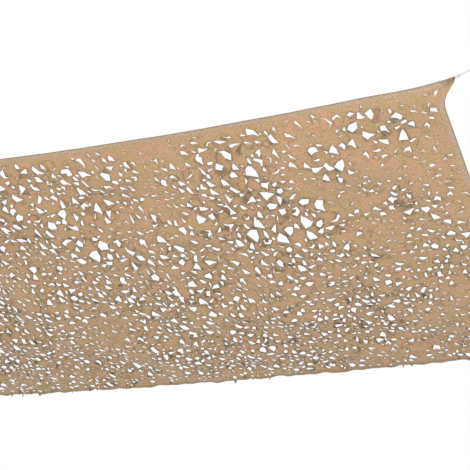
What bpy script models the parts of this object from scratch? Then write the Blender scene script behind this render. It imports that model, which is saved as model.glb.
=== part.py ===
"""Leaf-cut net shade sail, stretched between four corner ties (metres, +Z up).

The origin is the drawn-out tip of the near right corner. +X runs along the long edges
towards the right-hand corners, and +Y from the near long edge to the far one. The flat
cloth is cut first, and each of its points is then carried to where it hangs.
"""

import math
import random

import bmesh
import bpy
from mathutils import Vector
from mathutils.geometry import intersect_line_line_2d, intersect_point_line
from mathutils.kdtree import KDTree

SAIL_NAME = "shade_sail"
CUTTERS_NAME = "shade_sail_cutters"

# The cloth as it is cut and hemmed, lying flat and centred on zero
CLOTH_LENGTH = 4.0
CLOTH_WIDTH = 2.0
CLOTH_THICK = 0.002
HEM_WIDTH = 0.025
HEM_THICK = 0.003
CORNER_STEPS = (0.025, 0.045, 0.080, 0.110)
COLUMNS = 21
ROWS = 8
SLAB_HEIGHT = 0.02
CUTTER_HEIGHT = 0.06

# Where the ties hold the four drawn-out tips: name, side, end, x, y, z.
# side is -1 at the left and 1 at the right, end is -1 at the near edge and 1 at the far one.
CORNERS = (
    ("near_left", -1, -1, -4.180, 0.000, 0.490),
    ("near_right", 1, -1, 0.000, 0.000, 0.000),
    ("far_left", -1, 1, -4.150, 1.980, -0.090),
    ("far_right", 1, 1, 0.045, 1.990, -0.348),
)

# How the ties draw the corners out along the long edges
PULL = 0.072
PULL_REACH = 0.060
PULL_SHARPNESS = 1.7

# How the edges curve between the corners: bow is inwards in plan, sag is downwards
NEAR_BOW = 0.052
NEAR_SAG = 0.081
FAR_BOW = 0.032
FAR_SAG = 0.046
END_BOW = -0.004
END_SAG = 0.021
BELLY = 0.100
NORMAL_STEP = 0.004

# Soft troughs that run inwards from the corners: side, end, heading in degrees from the
# long edge, length, half width, depth
CREASE_START = 0.15
CREASE_FADE = 1.5
CREASES = (
    (1, -1, 16.0, 1.30, 0.060, 0.014),
    (1, -1, 41.0, 0.95, 0.075, 0.018),
    (1, -1, 72.0, 0.60, 0.055, 0.012),
    (-1, -1, 22.0, 1.20, 0.070, 0.016),
    (-1, -1, 55.0, 0.80, 0.065, 0.014),
    (1, 1, 18.0, 1.10, 0.065, 0.013),
    (1, 1, 50.0, 0.85, 0.080, 0.017),
    (-1, 1, 14.0, 1.40, 0.060, 0.012),
    (-1, 1, 47.0, 0.90, 0.070, 0.016),
)

# Long uneven waves of the slack net: length of a wave along x, along y, start, height
RIM_WAVE_SHARE = 0.35
RIM_WAVE_REACH = 0.3
EDGE_STILLNESS = 8
WAVES = (
    (1.55, 2.60, 0.4, 0.010),
    (-0.83, 1.10, 1.9, 0.006),
    (0.46, 1.70, 3.1, 0.004),
    (2.40, -0.52, 5.0, 0.005),
)

# Leaf cuts, in staggered rows over the whole net
LEAF_SEED = 57
LEAF_PITCH = 0.0355
LEAF_STRETCH = 1.30
LEAF_STAGGER = 0.25
LEAF_JITTER = 0.33
LEAF_LENGTH = 0.0308
LEAF_SPREAD = 0.25
LEAF_GROWTH = 0.60
LEAF_LONGEST = 0.052
LEAF_SMALLEST = 0.008
LEAF_WIDTHS = (0.45, 1.05)
LEAF_TURN_SPREAD = 62.0
FLIPPED_SHARE = 0.12
PLAIN_MARGIN = -0.006
CORNER_PLAIN = 0.30
CORNER_GAPE = 0.25
STRAND = 0.0028
CROWDING = 0.78

# Patches where the cuts gape more, or less: x, y, reach along x, along y, turn, gain
STRETCHED = (
    (0.20, -0.93, 0.22, 0.10, 0.0, 1.90),
    (0.05, -0.58, 0.25, 0.14, 10.0, 0.55),
    (0.13, -0.48, 0.26, 0.06, 45.0, 1.10),
    (0.42, -0.72, 0.22, 0.12, 10.0, 0.60),
    (0.30, -0.36, 0.24, 0.10, 25.0, 0.90),
    (0.72, -0.93, 0.18, 0.09, 0.0, -0.60),
    (1.10, -0.74, 0.18, 0.20, -8.0, 1.60),
    (1.18, -0.43, 0.30, 0.11, 12.0, 2.60),
    (1.10, -0.18, 0.30, 0.12, 20.0, 0.40),
    (1.70, -0.91, 0.24, 0.10, 5.0, 1.40),
    (1.74, -0.32, 0.26, 0.05, 56.0, 0.90),
    (1.72, -0.60, 0.26, 0.12, 8.0, -0.50),
    (1.58, -0.48, 0.18, 0.10, 8.0, -0.50),
    (1.38, -0.86, 0.16, 0.08, 0.0, -0.40),
    (1.48, -0.71, 0.10, 0.09, 0.0, 1.60),
    (1.35, -0.64, 0.08, 0.08, 0.0, -0.80),
    (1.54, -0.26, 0.24, 0.13, 8.0, -0.55),
    (1.70, 0.08, 0.16, 0.12, 0.0, -0.20),
    (0.72, -0.62, 0.16, 0.14, 8.0, -0.30),
    (0.60, -0.28, 0.16, 0.14, 8.0, 0.25),
    (0.47, -0.06, 0.20, 0.12, 8.0, 0.40),
    (0.38, 0.17, 0.20, 0.12, 10.0, 1.00),
    (0.23, 0.48, 0.22, 0.12, 10.0, 0.30),
    (1.32, 0.42, 0.30, 0.12, -15.0, 0.30),
    (1.62, 0.46, 0.16, 0.14, 0.0, -0.40),
    (0.45, 0.94, 0.40, 0.08, 0.0, -0.40),
    (0.85, 0.86, 0.20, 0.08, 5.0, 0.50),
    (1.20, 0.86, 0.26, 0.08, 0.0, 0.50),
    (-0.06, 0.32, 0.20, 0.14, 0.0, -0.40),
    (-0.40, -0.60, 0.35, 0.14, 15.0, 0.55),
    (-0.90, -0.10, 0.70, 0.12, 25.0, 0.60),
    (-1.50, -0.70, 0.40, 0.16, -12.0, 0.80),
    (-1.25, 0.62, 0.60, 0.12, -18.0, 0.55),
)

# Slack and taut bands of the cloth: length of a band along x, along y, start, strength
SLACK = (
    (0.71, 1.30, 0.6, 0.09),
    (-0.53, 0.47, 2.2, 0.08),
    (0.33, -0.61, 4.4, 0.08),
)

# Outlines of a leaf cut of length and width 1, as (along, across) points, where along runs
# from the leaf's hinge to its tip
LEAF_OUTLINES = (
    ((0.00, -0.50), (0.56, -0.46), (1.00, -0.14), (0.62, 0.34), (0.00, 0.50)),
    ((0.00, -0.48), (0.52, -0.33), (1.00, -0.10), (0.56, 0.26), (0.00, 0.52)),
    ((0.00, -0.34), (0.42, -0.54), (1.00, -0.06), (0.60, 0.46), (0.00, 0.30)),
    (
        (0.00, -0.30), (0.40, -0.52), (0.92, -0.40),
        (1.00, 0.12), (0.52, 0.14), (0.00, 0.36),
    ),
)
LEAF_OUTLINE_SHARES = (0.30, 0.28, 0.24, 0.18)
OPENINGS = 300
OPENING_GAP = 0.0030
OPENING_BEND = 0.0025

# Ties: a taut cord from a knot on the tip to a stopper knot outside the view
CORD_DIAMETER = 0.006
CORD_LENGTH = 0.100
CORD_POINTS = 8
CORD_SIDES_LEVEL = 2
KNOT_LENGTH = 0.020
KNOT_WIDTH = 0.015
KNOT_TWIST = 0.10
KNOT_STRANDS = 3
KNOT_SEGMENTS = 12
KNOT_RINGS = 8
GAP = 0.0004
TIE_OUTWARD = 0.30
TIE_UPWARD = 0.08

NET_COLOUR = (0.515, 0.305, 0.171, 1.0)
CORD_COLOUR = (0.560, 0.560, 0.540, 1.0)


def material(name, colour, roughness):
    """A plain Principled material."""
    made = bpy.data.materials.new(name)
    made.use_nodes = True
    shader = made.node_tree.nodes["Principled BSDF"]
    shader.inputs["Base Color"].default_value = colour
    shader.inputs["Roughness"].default_value = roughness
    shader.inputs["Metallic"].default_value = 0.0
    made.diffuse_color = colour
    return made


def corner(side, end):
    """The place of one drawn-out tip."""
    return next(Vector(row[3:]) for row in CORNERS if (row[1], row[2]) == (side, end))


def crease_depth(x, y):
    """How far the creases press the cloth down at a point of the flat cloth."""
    depth = 0.0
    for side, end, heading, length, half_width, deepest in CREASES:
        inward = CLOTH_LENGTH / 2 - side * x
        across = CLOTH_WIDTH / 2 - end * y
        angle = math.radians(heading)
        along = inward * math.cos(angle) + across * math.sin(angle)
        aside = across * math.cos(angle) - inward * math.sin(angle)
        if 0.0 < along < length:
            fade = (1.0 - along / length) ** CREASE_FADE * min(1.0, along / CREASE_START)
            depth += deepest * fade * math.exp(-((aside / half_width) ** 2))
    return depth


def wave_height(x, y):
    """The long uneven waves of the net, which die out at its edges."""
    height = 0.0
    for along_x, along_y, start, crest in WAVES:
        height += crest * math.sin(2 * math.pi * (x / along_x + y / along_y) + start)
    rim = min(CLOTH_LENGTH / 2 - abs(x), CLOTH_WIDTH / 2 - abs(y))
    inside = min(1.0, max(0.0, rim) / RIM_WAVE_REACH)
    return height * (RIM_WAVE_SHARE + (1.0 - RIM_WAVE_SHARE) * inside)


def hang(x, y):
    """Where a point of the flat cloth's middle surface hangs."""
    u = x / CLOTH_LENGTH + 0.5
    v = y / CLOTH_WIDTH + 0.5
    place = Vector((0.0, 0.0, 0.0))
    for side, end, share in (
        (-1, -1, (1 - u) * (1 - v)),
        (1, -1, u * (1 - v)),
        (-1, 1, (1 - u) * v),
        (1, 1, u * v),
    ):
        place += (corner(side, end) - Vector((side * PULL, 0.0, 0.0))) * share
    round_u = 4 * u * (1 - u)
    round_v = 4 * v * (1 - v)
    place.x += END_BOW * round_v * ((1 - u) ** 3 - u ** 3)
    place.y += round_u * (NEAR_BOW * (1 - v) ** 3 - FAR_BOW * v ** 3)
    place.z -= round_u * (NEAR_SAG * (1 - v) ** 2 + FAR_SAG * v ** 2)
    place.z -= round_v * END_SAG * (u ** 2 + (1 - u) ** 2)
    place.z -= BELLY * round_u * round_v
    for side, end in ((-1, -1), (1, -1), (-1, 1), (1, 1)):
        away = math.hypot(CLOTH_LENGTH / 2 - side * x, CLOTH_WIDTH / 2 - end * y)
        place.x += side * PULL * math.exp(-((away / PULL_REACH) ** PULL_SHARPNESS))
    inner = min(1.0, round_u * round_v * EDGE_STILLNESS)
    place.z += wave_height(x, y) * inner - crease_depth(x, y)
    return place


def upward(x, y):
    """The unit normal of the hanging cloth, on its upper side."""
    along = hang(x + NORMAL_STEP, y) - hang(x - NORMAL_STEP, y)
    across = hang(x, y + NORMAL_STEP) - hang(x, y - NORMAL_STEP)
    return along.cross(across).normalized()


def gape(x, y):
    """How much wider than usual the cuts gape at a point of the flat cloth."""
    share = 1.0
    for patch_x, patch_y, reach_x, reach_y, turn, gain in STRETCHED:
        angle = math.radians(turn)
        along = (x - patch_x) * math.cos(angle) + (y - patch_y) * math.sin(angle)
        across = (y - patch_y) * math.cos(angle) - (x - patch_x) * math.sin(angle)
        share += gain * math.exp(-((along / reach_x) ** 2) - (across / reach_y) ** 2)
    for along_x, along_y, start, strength in SLACK:
        share += strength * math.sin(2 * math.pi * (x / along_x + y / along_y) + start)
    near_corner = math.hypot(CLOTH_LENGTH / 2 - abs(x), CLOTH_WIDTH / 2 - abs(y))
    return share * min(1.0, CORNER_GAPE + (1.0 - CORNER_GAPE) * near_corner / CORNER_PLAIN)


def drawn_cuts():
    """Each leaf cut as (x, y, length, width, turn, outline), largest first."""
    draw = random.Random(LEAF_SEED)
    margin = HEM_WIDTH + PLAIN_MARGIN
    row_pitch = LEAF_PITCH * LEAF_STRETCH
    columns = round((CLOTH_LENGTH - 2 * margin) / LEAF_PITCH)
    rows = round((CLOTH_WIDTH - 2 * margin) / row_pitch)
    cuts = []
    for row in range(rows):
        for column in range(columns):
            stagger = LEAF_STAGGER if row % 2 else -LEAF_STAGGER
            x = (column + 0.5 + stagger - columns / 2) * LEAF_PITCH
            y = (row + 0.5 - rows / 2) * row_pitch
            x += draw.uniform(-LEAF_JITTER, LEAF_JITTER) * LEAF_PITCH
            y += draw.uniform(-LEAF_JITTER, LEAF_JITTER) * row_pitch
            wide = gape(x, y) * draw.lognormvariate(0.0, LEAF_SPREAD)
            length = min(LEAF_LENGTH * wide ** LEAF_GROWTH, LEAF_LONGEST)
            width = length * draw.uniform(*LEAF_WIDTHS)
            facing = 90.0 if draw.random() < FLIPPED_SHARE else -90.0
            turn = math.radians(facing + draw.gauss(0.0, LEAF_TURN_SPREAD))
            outline = draw.choices(LEAF_OUTLINES, LEAF_OUTLINE_SHARES)[0]
            cuts.append((x, y, length, width, turn, outline))
    return sorted(cuts, key=lambda cut: -cut[2] * cut[3])


def cut_reach(cut):
    """The radius of a circle round a leaf cut, before it is stretched across the cloth."""
    _x, _y, length, width, _turn, outline = cut
    return max(
        math.hypot((along - 0.5) * length, across * width) for along, across in outline
    )


def leaf_cuts():
    """The leaf cuts, the smaller ones shrunk to leave a strand of cloth between them."""
    drawn = drawn_cuts()
    spots = [Vector((x, y / LEAF_STRETCH, 0.0)) for x, y, *_size in drawn]
    tree = KDTree(len(drawn))
    for index, spot in enumerate(spots):
        tree.insert(spot, index)
    tree.balance()
    half_length = CLOTH_LENGTH / 2 - HEM_WIDTH
    half_width = (CLOTH_WIDTH / 2 - HEM_WIDTH) / LEAF_STRETCH
    kept = {}
    for index, (cut, spot) in enumerate(zip(drawn, spots)):
        x, y, length, width, turn, outline = cut
        room = min(half_length - abs(spot.x), half_width - abs(spot.y)) - STRAND
        for _place, other, away in tree.find_range(spot, 2 * LEAF_LONGEST):
            if other in kept:
                room = min(room, away - cut_reach(kept[other]) * CROWDING - STRAND)
        share = min(1.0, room / cut_reach(cut) / CROWDING)
        if length * share >= LEAF_SMALLEST:
            kept[index] = (x, y, length * share, width * share, turn, outline)
    return list(kept.values())


def cut_rim(cut):
    """The corners of a leaf cut on the flat cloth."""
    x, y, length, width, turn, outline = cut
    rim = []
    for along, across in outline:
        ahead, aside = (along - 0.5) * length, across * width
        right = ahead * math.cos(turn) - aside * math.sin(turn)
        up = ahead * math.sin(turn) + aside * math.cos(turn)
        rim.append(Vector((x + right, y + up * LEAF_STRETCH)))
    return rim


def sides(rim):
    """The sides of an outline, each as its two ends."""
    return list(zip(rim, rim[1:] + rim[:1]))


def off_line(point, start, end):
    """How far a point stands from the line between two others."""
    return (point - intersect_point_line(point, start, end)[0]).length


def straightened(rim):
    """An outline without the corners that hardly bend it."""
    kept = list(rim)
    while len(kept) > 3:
        bends = [
            off_line(kept[i], kept[i - 1], kept[(i + 1) % len(kept)])
            for i in range(len(kept))
        ]
        least = min(range(len(kept)), key=bends.__getitem__)
        if bends[least] > OPENING_BEND:
            break
        del kept[least]
    return kept


def stands_clear(rim, other):
    """Whether two outlines neither cross nor come within the least gap of each other."""
    for start, end in sides(rim):
        for other_start, other_end in sides(other):
            if intersect_line_line_2d(start, end, other_start, other_end):
                return False
    for points, lines in ((rim, sides(other)), (other, sides(rim))):
        for point in points:
            for start, end in lines:
                share = intersect_point_line(point, start, end)[1]
                nearest = start.lerp(end, min(1.0, max(0.0, share)))
                if (point - nearest).length < OPENING_GAP:
                    return False
    return True


def largest_openings():
    """The outlines of the largest leaf cuts that stand clear of each other."""
    chosen = []
    for cut in sorted(leaf_cuts(), key=lambda kept: -kept[2] * kept[3]):
        rim = straightened(cut_rim(cut))
        if all(
            (rim[0] - other[0]).length > 4 * LEAF_LONGEST or stands_clear(rim, other)
            for other in chosen
        ):
            chosen.append(rim)
        if len(chosen) == OPENINGS:
            break
    return chosen


def grid_lines(length, spans):
    """Places of the grid lines along one side: close in the corners, then even."""
    rim = [length / 2, length / 2 - HEM_WIDTH]
    for step in CORNER_STEPS:
        rim.append(rim[-1] - step)
    inner = rim[-1]
    even = [inner - i * 2 * inner / spans for i in range(1, spans)]
    return sorted(rim + even + [-place for place in rim])


def flat_slab():
    """The flat cloth as a tall closed slab with a grid of faces."""
    across = grid_lines(CLOTH_LENGTH, COLUMNS)
    along = grid_lines(CLOTH_WIDTH, ROWS)
    bm = bmesh.new()
    columns = len(across) - 1
    rows = len(along) - 1
    bmesh.ops.create_grid(bm, x_segments=columns, y_segments=rows, size=0.5)
    for vert in bm.verts:
        vert.co.x = across[round((vert.co.x + 0.5) * columns)]
        vert.co.y = along[round((vert.co.y + 0.5) * rows)]
        vert.co.z = -SLAB_HEIGHT / 2
    grown = bmesh.ops.extrude_face_region(bm, geom=bm.faces[:], use_keep_orig=True)
    raised = [item for item in grown["geom"] if isinstance(item, bmesh.types.BMVert)]
    bmesh.ops.translate(bm, verts=raised, vec=(0.0, 0.0, SLAB_HEIGHT))
    bmesh.ops.recalc_face_normals(bm, faces=bm.faces[:])
    return bm


def opening_prisms():
    """One upright prism for each large opening."""
    bm = bmesh.new()
    for rim in largest_openings():
        floor = bm.faces.new([bm.verts.new((*place, -CUTTER_HEIGHT / 2)) for place in rim])
        grown = bmesh.ops.extrude_face_region(bm, geom=[floor], use_keep_orig=True)
        raised = [item for item in grown["geom"] if isinstance(item, bmesh.types.BMVert)]
        bmesh.ops.translate(bm, verts=raised, vec=(0.0, 0.0, CUTTER_HEIGHT))
    bmesh.ops.recalc_face_normals(bm, faces=bm.faces[:])
    return bm


def add_object(name, bm, collection):
    """A mesh object made from a bmesh, which is then freed."""
    mesh = bpy.data.meshes.new(name)
    bm.to_mesh(mesh)
    bm.free()
    made = bpy.data.objects.new(name, mesh)
    collection.objects.link(made)
    return made


def cut_slab(slab, cutter):
    """The slab's mesh with the openings cut through it."""
    cut = slab.modifiers.new("openings", "BOOLEAN")
    cut.operation = "DIFFERENCE"
    cut.solver = "EXACT"
    cut.object = cutter
    bpy.context.view_layer.update()
    graph = bpy.context.evaluated_depsgraph_get()
    mesh = bpy.data.meshes.new_from_object(slab.evaluated_get(graph))
    slab.modifiers.remove(cut)
    return mesh


def make_net(sail, cutters, cloth):
    """The hanging net: one hemmed sheet with its largest leaf cuts open."""
    net = add_object("net", flat_slab(), sail)
    cutter = add_object("leaf_cutter", opening_prisms(), cutters)
    cutter.hide_render = True
    cutter.display_type = "WIRE"
    bm = bmesh.new()
    bm.from_mesh(cut_slab(net, cutter))
    bmesh.ops.triangulate(bm, faces=bm.faces[:])
    for vert in bm.verts:
        x, y, height = vert.co
        rim = min(CLOTH_LENGTH / 2 - abs(x), CLOTH_WIDTH / 2 - abs(y))
        hem_share = max(0.0, 1.0 - rim / HEM_WIDTH)
        thick = CLOTH_THICK + (HEM_THICK - CLOTH_THICK) * hem_share
        vert.co = hang(x, y) + upward(x, y) * math.copysign(thick / 2, height)
    bm.to_mesh(net.data)
    bm.free()
    net.data.materials.append(cloth)
    return net


def tie_heading(side, end):
    """The way a tie runs from its corner: outwards, a little sideways and up."""
    return Vector((side, end * TIE_OUTWARD, TIE_UPWARD)).normalized()


def make_knot(name, middle, heading, sail, rope):
    """A tight knot as one lumpy egg, with the lay of its strands raised on it."""
    bm = bmesh.new()
    bmesh.ops.create_uvsphere(
        bm, u_segments=KNOT_SEGMENTS, v_segments=KNOT_RINGS, radius=KNOT_WIDTH / 2
    )
    for vert in bm.verts:
        around = math.atan2(vert.co.y, vert.co.x)
        height = vert.co.z / (KNOT_WIDTH / 2)
        swell = 1.0 + KNOT_TWIST * math.sin(KNOT_STRANDS * around + math.pi * height)
        vert.co.x *= swell
        vert.co.y *= swell
        vert.co.z *= KNOT_LENGTH / KNOT_WIDTH
    knot = add_object(name, bm, sail)
    knot.location = middle
    knot.rotation_mode = "QUATERNION"
    knot.rotation_quaternion = heading.to_track_quat("Z", "Y")
    knot.data.materials.append(rope)
    knot.data.shade_smooth()
    return knot


def make_cord(name, start, finish, sail, rope):
    """A taut cord as a bevelled curve with closed ends."""
    curve = bpy.data.curves.new(name, "CURVE")
    curve.dimensions = "3D"
    curve.bevel_depth = CORD_DIAMETER / 2
    curve.bevel_resolution = CORD_SIDES_LEVEL
    curve.use_fill_caps = True
    line = curve.splines.new("POLY")
    line.points.add(CORD_POINTS - 1)
    for index, point in enumerate(line.points):
        point.co = (*start.lerp(finish, index / (CORD_POINTS - 1)), 1.0)
    cord = bpy.data.objects.new(name, curve)
    sail.objects.link(cord)
    curve.materials.append(rope)
    return cord


def make_tie(name, side, end, sail, rope):
    """A corner's tie: the knot on the tip, its cord and the stopper knot."""
    tip = corner(side, end)
    heading = tie_heading(side, end)
    knot_middle = GAP + KNOT_LENGTH / 2
    cord_start = knot_middle + KNOT_LENGTH / 2 + GAP
    cord_finish = cord_start + CORD_LENGTH
    stopper_middle = cord_finish + GAP + KNOT_LENGTH / 2
    make_knot(f"knot_{name}", tip + heading * knot_middle, heading, sail, rope)
    make_cord(
        f"tie_{name}", tip + heading * cord_start, tip + heading * cord_finish, sail, rope
    )
    make_knot(f"stopper_{name}", tip + heading * stopper_middle, heading, sail, rope)


def main():
    for old in list(bpy.data.objects):
        bpy.data.objects.remove(old, do_unlink=True)
    sail = bpy.data.collections.new(SAIL_NAME)
    cutters = bpy.data.collections.new(CUTTERS_NAME)
    bpy.context.scene.collection.children.link(sail)
    bpy.context.scene.collection.children.link(cutters)
    cloth = material("net_cloth", NET_COLOUR, 0.85)
    rope = material("tie_cord", CORD_COLOUR, 0.70)
    make_net(sail, cutters, cloth)
    for name, side, end, *_place in CORNERS:
        make_tie(name, side, end, sail, rope)


main()
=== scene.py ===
"""A leaf-cut net shade sail, stretched between four corner ties and seen from below.

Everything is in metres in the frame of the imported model: the origin is the drawn-out tip of
the near right corner, +X runs along the long edges and +Y from the near edge to the far one.
"""

import logging
import math
import random
from dataclasses import dataclass, field, replace
from enum import Enum

import bmesh
import bpy
import numpy as np
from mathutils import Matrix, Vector
from mathutils.geometry import delaunay_2d_cdt
from mathutils.kdtree import KDTree


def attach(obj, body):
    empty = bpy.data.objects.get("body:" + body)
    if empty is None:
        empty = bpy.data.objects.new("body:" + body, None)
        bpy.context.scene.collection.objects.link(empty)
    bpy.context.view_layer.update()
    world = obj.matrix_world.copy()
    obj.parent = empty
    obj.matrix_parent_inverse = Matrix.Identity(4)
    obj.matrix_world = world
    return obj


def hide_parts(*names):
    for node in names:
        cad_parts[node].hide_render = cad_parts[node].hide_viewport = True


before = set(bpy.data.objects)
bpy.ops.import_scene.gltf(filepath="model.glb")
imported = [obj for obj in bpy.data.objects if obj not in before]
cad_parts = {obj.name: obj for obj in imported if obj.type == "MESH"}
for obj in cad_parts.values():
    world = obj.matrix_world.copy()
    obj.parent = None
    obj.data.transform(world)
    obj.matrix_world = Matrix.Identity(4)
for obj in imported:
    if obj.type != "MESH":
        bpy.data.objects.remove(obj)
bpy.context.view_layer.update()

LOG = logging.getLogger("shade_sail")
BODY = "root"
RELIEF_DEPTH = 0.0003

Colour = tuple[float, float, float]


class CornerName(Enum):
    """The four corners: their side (-1 left, 1 right) and end (-1 near, 1 far)."""

    NEAR_LEFT = (-1, -1)
    NEAR_RIGHT = (1, -1)
    FAR_LEFT = (-1, 1)
    FAR_RIGHT = (1, 1)

    @property
    def label(self) -> str:
        """The corner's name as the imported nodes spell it."""
        return self.name.lower()


class LeafShape(Enum):
    """Outlines of a leaf cut of length and width 1, from one end of its hinge to the other.

    A point is (along, across): along runs from the hinge to the leaf's tip.
    """

    TONGUE = ((0.00, -0.50), (0.56, -0.46), (1.00, -0.14), (0.62, 0.34), (0.00, 0.50))
    WEDGE = ((0.00, -0.48), (0.52, -0.33), (1.00, -0.10), (0.56, 0.26), (0.00, 0.52))
    KITE = ((0.00, -0.34), (0.42, -0.54), (1.00, -0.06), (0.60, 0.46), (0.00, 0.30))
    HOOK = (
        (0.00, -0.30), (0.40, -0.52), (0.92, -0.40),
        (1.00, 0.12), (0.52, 0.14), (0.00, 0.36),
    )


@dataclass(frozen=True)
class SailForm:
    """The way the flat cloth hangs between its four ties."""

    length: float = 4.0
    width: float = 2.0
    tips: tuple = (
        (CornerName.NEAR_LEFT, (-4.180, 0.000, 0.490)),
        (CornerName.NEAR_RIGHT, (0.000, 0.000, 0.000)),
        (CornerName.FAR_LEFT, (-4.150, 1.980, -0.090)),
        (CornerName.FAR_RIGHT, (0.045, 1.990, -0.348)),
    )
    pull: float = 0.072
    pull_reach: float = 0.060
    pull_sharpness: float = 1.7
    near_bow: float = 0.052
    near_sag: float = 0.081
    far_bow: float = 0.032
    far_sag: float = 0.046
    end_bow: float = -0.004
    end_sag: float = 0.021
    belly: float = 0.100
    # corner, heading from the long edge in degrees, length, half width, depth
    creases: tuple = (
        (CornerName.NEAR_RIGHT, 16.0, 1.30, 0.060, 0.014),
        (CornerName.NEAR_RIGHT, 41.0, 0.95, 0.075, 0.018),
        (CornerName.NEAR_RIGHT, 72.0, 0.60, 0.055, 0.012),
        (CornerName.NEAR_LEFT, 22.0, 1.20, 0.070, 0.016),
        (CornerName.NEAR_LEFT, 55.0, 0.80, 0.065, 0.014),
        (CornerName.FAR_RIGHT, 18.0, 1.10, 0.065, 0.013),
        (CornerName.FAR_RIGHT, 50.0, 0.85, 0.080, 0.017),
        (CornerName.FAR_LEFT, 14.0, 1.40, 0.060, 0.012),
        (CornerName.FAR_LEFT, 47.0, 0.90, 0.070, 0.016),
    )
    # length of a wave along x, along y, start, height
    waves: tuple = (
        (1.55, 2.60, 0.4, 0.010),
        (-0.83, 1.10, 1.9, 0.006),
        (0.46, 1.70, 3.1, 0.004),
        (2.40, -0.52, 5.0, 0.005),
    )
    wave_edge_share: float = 0.35
    wave_edge_reach: float = 0.30
    wave_onset: float = 8.0
    crease_rise: float = 0.15
    crease_fading: float = 1.5
    wrinkle_seed: int = 7
    wrinkle_count: int = 14
    wrinkle_shortest: float = 0.07
    wrinkle_growth: float = 1.20
    wrinkle_slope: float = 0.0080
    wrinkle_edge_share: float = 0.12
    wrinkle_edge_reach: float = 0.16
    pleat_height: float = 0.0030
    pleat_count: float = 10.5
    pleat_start: float = 0.6
    pleat_rise: float = 0.06
    pleat_reach: float = 0.20
    # painted shade along the low far edge: how far in it reaches and over what it fades
    far_shade_reach: float = 0.070
    far_shade_fade: float = 0.030
    # painted shade on the rolled tips, and a fainter darkening spread round each corner
    tip_shade: float = 0.80
    tip_shade_reach: float = 0.032
    corner_dark: float = 0.13
    corner_dark_reach: float = 0.45
    flutter: float = 0.0045
    flutter_reach: float = 0.050
    flutter_rise: float = 0.20
    # length of a wave along the far edge, start, share
    flutter_waves: tuple = (
        (0.610, 0.8, 0.50),
        (0.235, 2.9, 0.55),
        (0.142, 4.6, 0.60),
        (0.083, 1.7, 0.45),
    )

    @property
    def half(self) -> np.ndarray:
        """Half the length and half the width of the flat cloth."""
        return np.array([self.length, self.width]) / 2

    def tip(self, corner: CornerName) -> np.ndarray:
        """The place of one drawn-out tip."""
        return np.array(dict(self.tips)[corner])

    def insets(self, flat: np.ndarray) -> np.ndarray:
        """How far points of the flat cloth lie inside its nearer end and long edge."""
        return self.half - np.abs(flat)

    def rim_distance(self, flat: np.ndarray) -> np.ndarray:
        """How far points of the flat cloth lie inside its nearest edge."""
        return self.insets(flat).min(axis=1)

    def corner_distance(self, flat: np.ndarray) -> np.ndarray:
        """How far points of the flat cloth lie from its nearest corner."""
        return np.hypot(*self.insets(flat).T)

    def far_distance(self, flat: np.ndarray) -> np.ndarray:
        """How far points of the flat cloth lie inside its far edge."""
        return self.width / 2 - flat[:, 1]

    def far_shade(self, flat: np.ndarray) -> np.ndarray:
        """How much painted shade of the low far edge shows at points of the flat cloth."""
        return np.clip((self.far_shade_reach - self.far_distance(flat)) / self.far_shade_fade, 0, 1)

    def corner_darkening(self, flat: np.ndarray) -> np.ndarray:
        """How dark the corners are painted: painted shade on the rolled tips most of all, and a
        fainter darkening spread round each corner.

        Args:
            flat: Points of the flat cloth, one to a row.

        Returns:
            How dark each point looks, from 0 to 1.
        """
        away = self.corner_distance(flat)
        spike = self.tip_shade * np.exp(-((away / self.tip_shade_reach) ** 2))
        around = self.corner_dark * np.exp(-((away / self.corner_dark_reach) ** 2))
        return np.maximum(spike, around)

    def crease_depth(self, flat: np.ndarray) -> np.ndarray:
        """How far the creases that run in from the corners press the cloth down.

        Args:
            flat: Points of the flat cloth, one to a row.

        Returns:
            The depth at each point, in metres.
        """
        depth = np.zeros(len(flat))
        for corner, heading, length, half_width, deepest in self.creases:
            side, end = corner.value
            inward = self.length / 2 - side * flat[:, 0]
            across = self.width / 2 - end * flat[:, 1]
            angle = math.radians(heading)
            along = inward * math.cos(angle) + across * math.sin(angle)
            aside = across * math.cos(angle) - inward * math.sin(angle)
            fade = np.clip(1 - along / length, 0, 1) ** self.crease_fading
            fade *= np.clip(along / self.crease_rise, 0, 1)
            depth += deepest * fade * np.exp(-((aside / half_width) ** 2))
        return depth

    def wave_height(self, flat: np.ndarray) -> np.ndarray:
        """The long uneven waves of the net, which die down at its edges.

        Args:
            flat: Points of the flat cloth, one to a row.

        Returns:
            The height at each point, in metres.
        """
        height = np.zeros(len(flat))
        for along_x, along_y, start, crest in self.waves:
            turn = 2 * math.pi * (flat[:, 0] / along_x + flat[:, 1] / along_y) + start
            height += crest * np.sin(turn)
        inner = np.clip(self.rim_distance(flat) / self.wave_edge_reach, 0, 1)
        return height * (self.wave_edge_share + (1 - self.wave_edge_share) * inner)

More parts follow.
